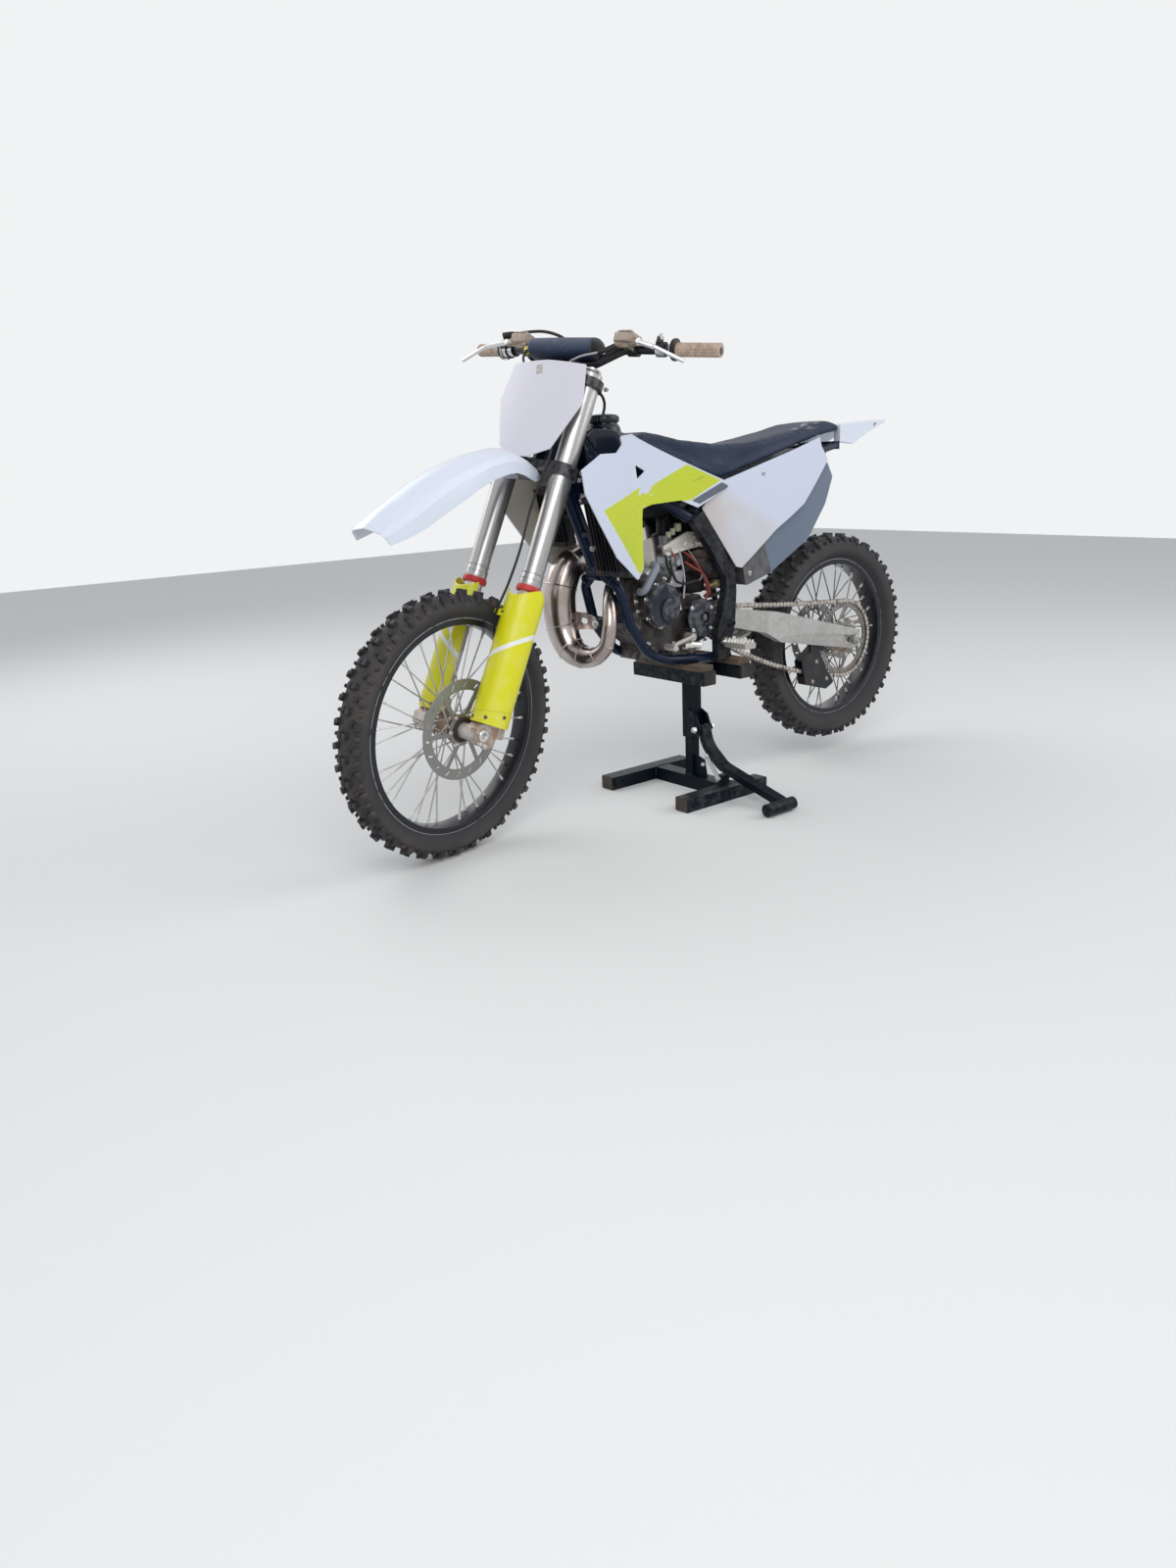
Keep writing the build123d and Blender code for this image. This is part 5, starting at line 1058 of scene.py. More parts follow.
def melted(node, voxel, rounds, trim=None):
    """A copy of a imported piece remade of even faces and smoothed, without hard edges.
    trim(corners) may first move its corners."""
    mesh = frame["nodes"][node].data.copy()
    mesh.materials.clear()
    if trim:
        mesh.vertices.foreach_set("co", trim(corners_of(mesh)).ravel())
    piece = bpy.data.objects.new(node + "_remade", mesh)
    bpy.context.collection.objects.link(piece)
    grid = piece.modifiers.new("even_faces", "REMESH")
    grid.mode, grid.voxel_size = "VOXEL", voxel
    soften = piece.modifiers.new("soft_edges", "SMOOTH")
    soften.factor, soften.iterations = 0.5, rounds
    even = bpy.data.meshes.new_from_object(piece.evaluated_get(bpy.context.evaluated_depsgraph_get()))
    even.name = node + "_remade"
    piece.modifiers.clear()
    piece.data = even
    even.polygons.foreach_set("use_smooth", np.ones(len(even.polygons), bool))
    return piece


def without_cap(corners):
    """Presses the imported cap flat, since the domed neck takes its place."""
    return np.column_stack((corners[:, :2], np.minimum(corners[:, 2], 1.058)))


tank_plastic = finish("tank_plastic", (0.005, 0.009, 0.018), 0.20, amount=0.03, paint=tank_colours,
                      bump=0.00003, shine=0.4)
tank = melted("fuel_tank", 0.0045, 14, without_cap)
tank.data.materials.append(tank_plastic)
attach(tank, "chassis")
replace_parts(tank, "fuel_tank")
dome = [(0.0, 0.046), (0.25, 0.050), (0.42, 0.0512), (0.56, 0.0505), (0.68, 0.0475), (0.755, 0.0435),
        (0.775, 0.0400), (0.805, 0.0395), (0.815, 0.0425), (0.83, 0.0432), (0.93, 0.0430), (0.965, 0.0405),
        (0.985, 0.030), (1.0, 0.012)]
turned("tank_dome", [(0.313, 0.0, 0.975)], [(0.313, 0.0, 1.096)], dome, tank_plastic, "chassis", 64,
       sharp=50.0)
ridge_low = np.array([0.313, 0.0, 1.0755]) + circles(np.array([0.0428, 0, 0]), np.array([0, 0.0428, 0]), 34)
turned("tank_cap_ridges", ridge_low, ridge_low + [0, 0, 0.012], [(0, 0.0014), (0.9, 0.0013), (1, 0.0008)],
       tank_plastic, "chassis", 6)
vent = [(0.313, 0.0, 1.092), (0.306, 0.0, 1.108), (0.305, 0.0, 1.126), (0.314, 0.0, 1.143),
        (0.338, 0.0, 1.159), (0.375, 0.0, 1.169), (0.408, 0.0, 1.171), (0.4285, 0.0, 1.1655)]
vent_hose = tube_along("tank_vent_hose", smooth_line(vent, 70), 0.0038, case_rubber, None, 12)
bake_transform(vent_hose)


# Airbox
#
# A grey plastic box under the seat, its front lower corner dark and rough with dirt,
# held by a small bolt.

def box_tones(place, colour):
    """Grey blue behind, and a dark dirty corner ahead of a moulded seam."""
    ahead = fade(arrows("DOT_PRODUCT", place, (0.93, 0.0, -0.36)), -0.462, -0.456)
    dirt = fade(noise(place, 40.0, 5.0), 0.38, 0.62)
    dark = blended(dirt, (0.050, 0.055, 0.072), (0.105, 0.100, 0.098))
    return blended(ahead, colour, dark)


grey_plastic = finish("grey_plastic", (0.120, 0.155, 0.215), 0.42, amount=0.08, low=0.5, high=1.0,
                      dust=(0.26, 0.25, 0.24), paint=box_tones, bump=0.00008)
dressed("airbox", grey_plastic, 0.004)
bolts("airbox_bolt", [(-0.150, 0.0955, 0.640)], [(0, 1, 0)], 0.0085, 0.004, bolt_steel, "chassis")


# Seat
#
# Foam under a stretched navy cover with a fine grain, seamed along its sides and
# rubbed white at the rear. The foam is blown up a little by a cloth simulation.

def leather(place):
    """Grain as a network of small cells, a fifth of a millimetre deep."""
    cells = node_out("ShaderNodeTexVoronoi", Vector=place, Scale=420.0)
    return times(cells, 0.0002)


def rider_worn(place, colour):
    """Cover gone paler where the rider sits, with a white scuff at the rear top."""
    middle = fade(noise(place, 6.0, 3.0), 0.35, 0.7)
    worn = blended(times(middle, 0.6), colour, (0.030, 0.044, 0.078))
    scuff = fade(noise(place, 60.0, 3.0, (0.35, 1.0, 1.0)), 0.48, 0.60)
    near = fade(arrows("DISTANCE", arrows("MULTIPLY", place, (0.4, 1.0, 1.0)), (-0.168, 0.062, 1.052)), 0.030,
                0.012)
    return blended(times(near, scuff, 0.8), worn, (0.60, 0.62, 0.64))


def stuffed(node, material, voxel, push, rest, trim=None):
    """A padded piece: melted, blown up as cloth with each point held within push of
    where it began, and left in its place where rest(corners) is 0."""
    piece = melted(node, voxel, 6, trim)
    even = piece.data
    before = corners_of(even)
    cloth = piece.modifiers.new("cover", "CLOTH")
    cloth.settings.use_pressure, cloth.settings.uniform_pressure_force = True, 4.0
    cloth.settings.effector_weights.gravity = 0.0
    cloth.point_cache.frame_end = 20
    for number in range(1, 21):
        bpy.context.scene.frame_set(number)
    blown = bpy.data.meshes.new_from_object(piece.evaluated_get(bpy.context.evaluated_depsgraph_get()))
    piece.modifiers.clear()
    bpy.context.scene.frame_set(1)
    move = corners_of(blown) - before
    size = np.linalg.norm(move, axis=1, keepdims=True)
    move *= np.minimum(1.0, push / np.maximum(size, 1e-9)) * rest(before)[:, None]
    even.vertices.foreach_set("co", (before + move).ravel())
    even.update()
    even.materials.append(material)
    finer = piece.modifiers.new("smoother", "SUBSURF")
    finer.levels = finer.render_levels = 1
    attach(piece, body_of[node])
    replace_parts(piece, node)
    return piece


def above_rails(corners):
    """0 up to 6 mm above the upper edge of the panels, and 1 from 20 mm higher."""
    panel_edge = np.interp(corners[:, 0], [-0.576, -0.463, -0.204, -0.043, 0.057, 0.274],
                           [1.036, 1.022, 0.960, 0.915, 0.946, 1.030])
    return np.clip((corners[:, 2] - panel_edge - 0.006) / 0.02, 0, 1)


seat_cover = finish("seat_cover", (0.010, 0.020, 0.046), 0.50, amount=0.02, low=0.8, high=1.2, shine=0.25,
                    relief=leather, paint=rider_worn)
stuffed("seat", seat_cover, 0.006, 0.005, above_rails)


# Fork
#
# Champagne anodised tubes with red wiper rings, held by black clamps, over bare
# alloy lugs caked with earth. Yellow guards with a white stripe cover the legs.

rake, parked = radians(24.23), radians(11.7)
ahead = np.array([cos(rake), 0, sin(rake)])
along = np.array([-sin(rake), 0, cos(rake)])
leftward = np.array([0.0, 1.0, 0.0])
steer_foot = np.array([0.8123214, 0.0, 0.3237072])
steer_p, steer_y = (ahead * cos(parked) + leftward * sin(parked),
                    leftward * cos(parked) - ahead * sin(parked))
to_steering = Matrix((*zip(steer_p, steer_y, along, steer_foot), (0, 0, 0, 1)))
leg = (0.022, 0.096)  # ahead of the steering axis, and to its side


def placed(piece, matrix):
    """Moves a piece that was made in another frame to its place."""
    piece.data.transform(matrix)
    return piece


def steered(piece):
    """Places a piece that was made in the steering's frame: ahead, left, up its axis."""
    return placed(piece, to_steering)


def drawn_tube(place, colour):
    """Fine rings of machining round the tube, and rubbed streaks along it."""
    height = arrows("DOT_PRODUCT", place, tuple(along))
    rings = node_out("ShaderNodeTexNoise", Vector=node_out("ShaderNodeCombineXYZ", Z=height), Scale=700.0)
    rub = fade(noise(place, 18.0, 4.0), 0.45, 0.68)
    made = blended(fade(rings, 0.35, 0.7), colour, tuple(0.94 * c for c in colour))
    return blended(times(rub, 0.15), made, (0.36, 0.345, 0.325))


tube_alloy = finish("tube_alloy", (0.45, 0.44, 0.435), 0.30, metallic=0.9, amount=0.05, low=0.4, high=1.0,
                    paint=drawn_tube, bump=0.00002)
dressed("fork_outer_tubes", tube_alloy, 0.0006)

# Orange brown earth dried on bare alloy in thick patches.
earth_caked = patchy(28.0, 5.0, 0.44, 0.58, 0.8, (0.36, 0.215, 0.13))
lug_alloy = finish("lug_alloy", (0.62, 0.60, 0.57), 0.38, metallic=0.75, amount=0.35, low=0.2, high=0.6,
                   dust=(0.33, 0.22, 0.15), bare=(0.8, 0.79, 0.77), wear=0.7, paint=earth_caked)
dressed("fork_legs", lug_alloy, 0.003)
dressed("front_axle", axle_steel, 0.0008)
red_seal = finish("red_seal", (0.52, 0.018, 0.022), 0.45, amount=0.18, bump=0.0001)
seal_profile = [(0.0, 0.0262), (0.0, 0.0305), (0.25, 0.0318), (0.7, 0.0318), (1.0, 0.0300), (1.0, 0.0262)]
steered(turned("wiper_rings", pair(*leg, 0.3765), pair(*leg, 0.3925), seal_profile, red_seal, "steering", 48))
ring_starts = np.array([place for s in (0.407, 0.4225, 0.652, 0.662) for place in pair(*leg, s)])
ring_profile = [(0, 0.0288), (0.2, 0.0302), (0.8, 0.0302), (1, 0.0288)]
steered(turned("tube_rings", ring_starts, ring_starts + [0, 0, 0.0035], ring_profile, tube_alloy, "steering",
               48))
cap_profile = [(0.0, 0.0235), (0.25, 0.0235), (0.3, 0.0215), (0.55, 0.0215), (0.6, 0.012), (1.0, 0.012),
               (1.0, 0.005)]
steered(turned("fork_caps", pair(*leg, 0.9495), pair(*leg, 0.9595), cap_profile, axle_steel, "steering", 40))

clamp_black = finish("clamp_black", (0.010, 0.011, 0.014), 0.32, amount=0.06, bare=(0.20, 0.20, 0.20),
                     wear=0.4, shine=0.35)
dressed("triple_clamps", clamp_black, 0.003)
pinch = [(-0.004, side * 0.1318, s) for side in (1, -1) for s in (0.682, 0.700, 0.918)]
steered(bolts("clamp_pinch_bolts", pinch, [(0, 1, 0)] * 3 + [(0, -1, 0)] * 3, 0.0062, 0.007, axle_steel,
              "steering"))
riser_bolts = [(0.015 + x, side * 0.040, 0.9975) for side in (1, -1) for x in (-0.0115, 0.0115)]
steered(bolts("riser_bolts", riser_bolts, (0, 0, 1), 0.0055, 0.007, axle_steel, "steering"))
steered(turned("stem_nut", [(0, 0, 0.928)], [(0, 0, 0.937)],
               [(0, 0.019), (0.7, 0.019), (1, 0.016), (1, 0.009), (0.4, 0.009)], axle_steel, "steering", 6,
               bevel=0.001))

lug_bolts = [(0.022 + x, side * 0.1166, s) for side in (1, -1) for x, s in ((0.016, -0.026), (0.036, -0.022))]
steered(bolts("axle_pinch_bolts", lug_bolts, [(0, 1, 0)] * 2 + [(0, -1, 0)] * 2, 0.0065, 0.007, bolt_steel,
              "steering"))
steered(turned("front_axle_ends", pair(0.057, 0.1165, 0), pair(0.057, 0.1255, 0),
               [(0, 0.016), (0.8, 0.016), (1, 0.0145), (1, 0.008), (0.3, 0.0075)], bolt_steel, "steering", 24,
               bevel=0.0006))


def guard_colours(place, colour):
    """A white stripe over the yellow, in a plane that rises outwards across the front
    of each guard and falls on its inner side, and a paler scuffed patch below it."""
    out = arrows("SUBTRACT", place, tuple(steer_foot))
    p, y, s = (arrows("DOT_PRODUCT", out, tuple(line)) for line in (steer_p, steer_y, along))
    away = sums("ABSOLUTE", y)
    outer = sums("ADD", sums("MULTIPLY_ADD", p, -0.488, 0.196), times(away, 0.544))
    inner = sums("ADD", sums("MULTIPLY_ADD", p, 0.335, 0.1336), times(away, 0.5717))
    share = fade(away, 0.0895, 0.0905)
    level = sums("ADD", times(outer, share), times(inner, sums("SUBTRACT", 1.0, share)))
    stripe = fade(sums("ABSOLUTE", sums("SUBTRACT", s, level)), 0.0072, 0.0064)
    scuff = times(fade(noise(place, 24.0, 4.0), 0.50, 0.72), 0.30)
    return blended(stripe, blended(scuff, colour, (0.74, 0.73, 0.26)), (0.80, 0.81, 0.80))


guard_plastic = finish("guard_plastic", (0.68, 0.66, 0.006), 0.32, amount=0.05, low=0.25, high=0.8,
                       bump=0.00003, paint=guard_colours)
dressed("fork_guards", guard_plastic, 0.001)
dark_screw = finish("dark_screw", (0.10, 0.09, 0.08), 0.45, metallic=0.8, amount=0.5)
guard_x, guard_radius = 0.023, 0.0492
for side in (1, -1):
    sweep = np.radians(np.linspace(-44, 112, 40))
    lip = np.stack((guard_x + guard_radius * np.cos(sweep), side * (leg[1] + guard_radius * np.sin(sweep)),
                    np.linspace(0.052, 0.078, 40)), axis=-1)
    steered(tube_along("guard_lip_%d" % (side + 1), lip, 0.0017, guard_plastic, "steering",
                       8))
    screw_angle = np.radians([-22, 28, 84])
    out = np.stack((np.cos(screw_angle), side * np.sin(screw_angle), np.zeros(3)), axis=-1)
    heads = [guard_x, side * leg[1], 0.0] + out * guard_radius + [[0, 0, 0.042], [0, 0, 0.046], [0, 0, 0.058]]
    steered(bolts("guard_screws_%d" % (side + 1), heads, out, 0.0052, 0.0022, dark_screw, "steering"))
steered(cushion_box("hose_tab", [(0.0665, 0.066, 0.309)], [(0.0022, 0.019, 0.0085)], guard_plastic,
                    "steering", 0.4))
steered(bolts("hose_tab_screws", [(0.0688, 0.057, 0.307), (0.0688, 0.075, 0.311)], (1, 0, 0), 0.0042, 0.002,
              dark_screw, "steering"))


# Front brake
#
# A cast caliper on bolts behind the left leg, fed by a black hose that comes down in
# front of the leg from the lever's cylinder and is held by the guard's tab.

dressed("front_brake", lug_alloy, 0.003)
steered(bolts("caliper_bolts", [(-0.030, 0.0743, 0.020), (-0.036, 0.0743, 0.068)], (0, 1, 0), 0.0075, 0.007,
              axle_steel, "steering"))
brake_route = [(0.024, -0.150, 1.024), (0.036, -0.133, 1.008), (0.058, -0.116, 0.968), (0.070, -0.070, 0.925),
               (0.072, -0.010, 0.870), (0.074, 0.050, 0.800), (0.0755, 0.086, 0.724), (0.0755, 0.082, 0.648),
               (0.075, 0.075, 0.572), (0.075, 0.080, 0.471), (0.0755, 0.075, 0.385), (0.073, 0.062, 0.325),
               (0.066, 0.053, 0.290), (0.040, 0.050, 0.240), (0.006, 0.053, 0.180), (-0.028, 0.060, 0.125),
               (-0.044, 0.064, 0.088)]
steered(tube_along("front_brake_hose", smooth_line(brake_route, 150), 0.0034, case_rubber, "steering",
                   12))


# Number plate
#
# A bent white plastic plate on two lugs, with a small moulded slot that has gone grey
# and returned edges.

slot_mark = [(-0.0330, 0.9375), (-0.0110, 0.9400), (-0.0035, 0.9155), (-0.0255, 0.9125)]


def plate_mark(place, colour):
    """The worn grey slot near the plate's top."""
    mark = inside(place, slot_mark, steer_y, along, steer_foot, 0.0008)
    shade = fade(noise(place, 120.0, 3.0), 0.35, 0.65)
    return blended(mark, colour, blended(shade, (0.36, 0.33, 0.31), (0.52, 0.50, 0.48)))


plate_plastic = finish("plate_plastic", (0.64, 0.625, 0.70), 0.33, dust=plastic_dust, amount=0.05,
                       bump=0.00004, paint=plate_mark)
dressed("number_plate", plate_plastic, 0.0016)


# Handlebar and controls
#
# A tapered black bar with alloy cylinders for brake and clutch on black perches,
# polished levers, a throttle housing with its cable in a boot, and push buttons.

bar_black = finish("bar_black", (0.010, 0.010, 0.012), 0.34, amount=0.06, bare=(0.2, 0.2, 0.2), wear=0.4,
                   shine=0.35)
dressed("handlebar", bar_black, 0.0006, 50.0)
tan_alloy = finish("tan_alloy", (0.33, 0.265, 0.21), 0.45, metallic=0.5, amount=0.15, bare=(0.6, 0.56, 0.5),
                   wear=0.6)
lever_alloy = finish("lever_alloy", (0.70, 0.70, 0.72), 0.28, metallic=0.9, amount=0.12)
perch_black = finish("perch_black", (0.014, 0.013, 0.014), 0.42, amount=0.12, shine=0.3)
from_steering = np.array(to_steering.inverted())


def control_finishes(mesh):
    """0 black perches and housings, 1 tan cylinders, 2 polished levers."""
    p, y, s = (of_faces(mesh, "center") @ from_steering[:3, :3].T + from_steering[:3, 3]).T
    y = np.abs(y)
    lever = (y > 0.216) & (s < 1.0285) & (p > -0.03)
    cylinder = (y > 0.147) & (y < 0.2155) & (s > 1.012) & (p > 0.006)
    return np.where(lever, 2, np.where(cylinder, 1, 0))


dressed("bar_controls", perch_black, 0.002, more=(tan_alloy, lever_alloy), choose=control_finishes)
steered(cushion_box("reservoir_lids", pair(0.0222, 0.175, 1.0498), [(0.0175, 0.0235, 0.0022)] * 2, tan_alloy,
                    "steering", 0.3))
lid_screws = pair(0.0222 - 0.011, 0.175 - 0.017, 1.0518) + pair(0.0222 + 0.011, 0.175 + 0.017, 1.0518)
steered(bolts("lid_screws", lid_screws, (0, 0, 1), 0.0032, 0.0018, dark_screw, "steering"))
button_yellow = finish("button_yellow", (0.62, 0.50, 0.05), 0.4, amount=0.25)
steered(turned("stop_button", [(0.030, -0.132, 1.000)], [(0.043, -0.132, 1.005)],
               [(0, 0.0115), (0.4, 0.0115), (0.4, 0.0085), (0.9, 0.0085), (1, 0.0065)], button_yellow,
               "steering", 24, bevel=0.0006))
steered(turned("stop_button_clamp", [(-0.003, -0.136, 1.0035)], [(-0.002, -0.150, 1.011)],
               [(0, 0.0155), (0.1, 0.0175), (0.9, 0.0175), (1, 0.0155)], perch_black, "steering", 28))
steered(turned("lever_pivots", pair(0.032, 0.222, 1.032), pair(0.032, 0.222, 1.019),
               [(0, 0.0045), (0.1, 0.0058), (0.9, 0.0058), (1, 0.0045)], bolt_steel, "steering", 16))
steered(turned("start_button", [(-0.018, 0.250, 1.054)], [(-0.010, 0.250, 1.066)],
               [(0, 0.007), (0.5, 0.007), (0.5, 0.0055), (1, 0.005)], lever_alloy, "steering", 16))
clutch_boot = smooth_line([(0.022, 0.152, 1.0200), (0.034, 0.136, 1.0040), (0.050, 0.120, 0.989)], 20)
steered(tube_along("clutch_boot", clutch_boot, np.linspace(0.0085, 0.0058, 20), case_rubber, "steering",
                   16))
clutch_route = [(0.050, 0.121, 0.9885), (0.058, 0.107, 0.981), (0.063, 0.092, 0.975), (0.067, 0.074, 0.966),
                (0.068, 0.052, 0.950), (0.062, 0.040, 0.915), (0.050, 0.042, 0.860), (0.020, 0.046, 0.800)]
steered(tube_along("clutch_hose", smooth_line(clutch_route, 60), 0.0027, grey_sheath, "steering",
                   12))
throttle_boot = smooth_line([(0.010, -0.262, 1.052), (0.004, -0.246, 1.060), (0.000, -0.228, 1.064)], 20)
steered(tube_along("throttle_boot", throttle_boot, np.linspace(0.0105, 0.0060, 20), case_rubber, "steering",
                   16))
throttle_route = [(0.004, -0.240, 1.061), (0.000, -0.204, 1.068), (0.000, -0.132, 1.070),
                  (-0.004, -0.071, 1.058), (-0.012, -0.043, 1.040), (-0.024, -0.030, 1.000),
                  (-0.036, -0.036, 0.960), (-0.040, -0.046, 0.930)]
steered(tube_along("throttle_cable", smooth_line(throttle_route, 80), 0.0040, case_rubber, "steering",
                   12))


# Bar pad
#
# Foam in a navy vinyl sleeve that closes round the bar's middle, dark at its open
# ends. Like the seat's, the foam is blown up a little by a cloth simulation.

def sleeve_weave(place):
    """A fine coated weave, a tenth of a millimetre deep."""
    cells = node_out("ShaderNodeTexVoronoi", Vector=place, Scale=900.0)
    return times(cells, 0.0001)


def sleeve_ends(place, colour):
    """Near black at both ends, and paler in soft patches."""
    sideways = arrows("DOT_PRODUCT", place, tuple(steer_y))
    at = float(steer_foot @ steer_y)
    ends = fade(sums("ABSOLUTE", sums("SUBTRACT", sideways, at)), 0.1040, 0.1050)
    faded = blended(fade(noise(place, 14.0, 3.0), 0.35, 0.7), colour, (0.024, 0.042, 0.092))
    return blended(ends, faded, (0.008, 0.008, 0.010))


def everywhere(corners):
    """The whole sleeve may swell."""
    return np.ones(len(corners))


def drawn_in(corners):
    """Shortens the sleeve to 0.92 of its length and thins it to 0.97, about its middle."""
    middle = steer_foot + ahead * 0.034 + along * 1.0025
    sideways = (corners - middle) @ steer_y
    round_it = corners - middle - sideways[:, None] * steer_y
    return middle + round_it * 0.97 + sideways[:, None] * 0.92 * steer_y


pad_cover = finish("pad_cover", (0.013, 0.024, 0.058), 0.48, amount=0.06, relief=sleeve_weave,
                   paint=sleeve_ends)
stuffed("bar_pad", pad_cover, 0.004, 0.0015, everywhere, drawn_in)


# Grips
#
# Soft tan rubber with a moulded waffle of raised blocks, a round flange inside and a
# worn rim at the end.

# Brown mud in the hollows of the rubber.
mud_stained = patchy(60.0, 4.0, 0.42, 0.62, 0.6, (0.25, 0.165, 0.115))
grip_rubber = finish("grip_rubber", (0.50, 0.38, 0.30), 0.68, amount=0.15, low=0.9, high=1.3,
                     bare=(0.62, 0.5, 0.4), wear=0.6, paint=mud_stained)
grip_from, grip_to = np.array([-0.0360, 0.292, 1.0371]), np.array([-0.057, 0.405, 1.046])
grip_share, grip_turn = np.linspace(0, 1, 150), np.arange(96) * 2 * pi / 96
blocks = np.minimum(np.abs(np.sin(grip_turn * 7))[None], np.abs(np.sin(grip_share * 16 * pi))[:, None])
blocks = np.clip((blocks - 0.25) * 4, 0, 1) * ((grip_share > 0.07) & (grip_share < 0.93))[:, None]
grip_radius = 0.0155 + 0.0014 * blocks + 0.0014 * (grip_share > 0.955)[:, None]
grip_radius = np.where((grip_share <= 0.05)[:, None], 0.0170, grip_radius)
grip_run = grip_to - grip_from
outward = grip_run / np.linalg.norm(grip_run)
grip_ring = circles(*across(grip_run), 96)[None]
grip_skin = grip_from + grip_run * grip_share[:, None, None] + grip_ring * grip_radius[..., None]
inner_end = grip_to + grip_ring * 0.008
deep_end = grip_to + grip_ring * 0.0075 - outward * 0.004
deep_pole = np.broadcast_to(grip_to - outward * 0.004, (1, 96, 3))
start_pole = np.broadcast_to(grip_from, (1, 96, 3))
skins = np.concatenate((start_pole, grip_skin, inner_end, deep_end, deep_pole))
both_grips = np.stack((skins, skins * [1, -1, 1]))
grips = shown(steered(surface("waffle_grips", both_grips, closed=(False, True))), grip_rubber, "steering",
              sharp=70.0)
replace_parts(grips, "grips")
flange_profile = [(0.0, 0.014), (0.0, 0.0240), (0.2, 0.0262), (0.8, 0.0264), (1.0, 0.0242), (1.0, 0.016)]
flange_from = np.array(pair(*(grip_from - outward * 0.0062)))
flange_to = pair(*(grip_from - outward * 0.0002))
steered(turned("grip_flanges", flange_from, flange_to, flange_profile, perch_black, "steering", 56))
half_rim = np.array(pair(0, 0.0008, 0))
steered(turned("flange_rims", flange_from - half_rim, flange_from + half_rim,
               [(0, 0.022), (0, 0.0268), (1, 0.0268), (1, 0.022)], lever_alloy, "steering", 56))


# Wheels
#
# Black alloy rims laced with crossed wire spokes to dirty cast hubs, with an open
# steel brake disc on each, and off-road tyres with staggered square knobs.

to_rear_wheel = Matrix.Translation((rear_x, 0.0, rear_z))
to_front_wheel = to_steering @ Matrix.Translation((0.057, 0.0, 0.0)) @ Matrix.Rotation(-rake, 4, "Y")


def from_axle(place, matrix):
    """Distance from a wheel's axle, and the place along it."""
    middle, axis = tuple(matrix.translation), tuple((matrix.to_3x3() @ Vector((0, 1, 0))).normalized())
    spoke = arrows("SUBTRACT", place, middle)
    return arrows("LENGTH", arrows("CROSS_PRODUCT", spoke, axis)), arrows("DOT_PRODUCT", spoke, axis)


def wheel_finishes(end, matrix, rim_radius, disc_y, mud_share):
    """Rim, hub and tyre finishes for one wheel, ringed about its axle."""
    def lip_highlight(place, colour):
        """Black rim with a painted highlight in patches along its two lips, and brown dust in the well."""
        radius = from_axle(place, matrix)[0]
        # Painted highlight: pale grey along the two lips, broken up by noise.
        lip = fade(radius, rim_radius - 0.0022, rim_radius - 0.0010)
        chips = fade(noise(place, 40.0, 4.0), 0.30, 0.45)
        return blended(times(lip, chips), colour, (0.34, 0.35, 0.37))

    def hub_and_disc(place, colour):
        """A dirty hub, and beside it the disc's bare steel with fine rings."""
        radius, sideways = from_axle(place, matrix)
        on_disc = times(fade(sums("ABSOLUTE", sums("SUBTRACT", sideways, disc_y)), 0.0022, 0.0018),
                        fade(radius, 0.0365, 0.0375))
        rings = node_out("ShaderNodeTexNoise", Vector=node_out("ShaderNodeCombineXYZ", X=radius), Scale=900.0)
        steel = blended(fade(rings, 0.35, 0.65), (0.20, 0.205, 0.195), (0.29, 0.295, 0.28))
        mud = fade(noise(place, 22.0, 4.0), 0.36, 0.56)
        hub = blended(times(mud, 0.85), colour, (0.33, 0.19, 0.115))
        return blended(on_disc, hub, steel)

    def muddy_tread(place, colour):
        """Brown dust over the sidewall and between the knobs."""
        radius = from_axle(place, matrix)[0]
        side = fade(radius, rim_radius + 0.004, rim_radius + 0.036)
        cloud = fade(noise(place, 11.0, 5.0), 0.34, 0.62)
        return blended(times(side, cloud, mud_share), colour, (0.066, 0.057, 0.055))

    def knob_dust_and_highlight(place, colour):
        """Blue black rubber, brown with dust at its foot, with a painted highlight of paler grey on its top.
        """
        radius = from_axle(place, matrix)[0]
        foot = fade(radius, rim_radius + 0.062, rim_radius + 0.050)
        # Painted highlight: paler grey near the top of each knob.
        top = times(fade(radius, rim_radius + 0.0640, rim_radius + 0.0668),
                    fade(noise(place, 150.0, 2.0), 0.35, 0.6))
        dusty = blended(times(foot, fade(noise(place, 26.0, 3.0), 0.40, 0.60)), colour, (0.066, 0.051, 0.046))
        return blended(times(top, 0.7), dusty, (0.060, 0.058, 0.062))

    return (finish(end + "_rim_black", (0.008, 0.009, 0.013), 0.24, amount=0.05, shine=0.4, paint=lip_highlight),
            finish(end + "_hub_alloy", (0.36, 0.345, 0.33), 0.42, metallic=0.6, amount=0.15,
                   dust=(0.27, 0.19, 0.13), paint=hub_and_disc),
            finish(end + "_tyre_rubber", (0.036, 0.035, 0.038), 0.75, dust=(0.085, 0.074, 0.069),
                   amount=0.17 * mud_share, low=-0.3, high=1.0, bump=0.0004, shine=0.3, paint=muddy_tread),
            finish(end + "_knob_rubber", (0.020, 0.020, 0.025), 0.6, dust=(0.09, 0.07, 0.06), amount=0.10,
                   low=-0.3, high=1.0, bump=0.0003, shine=0.35, paint=knob_dust_and_highlight))


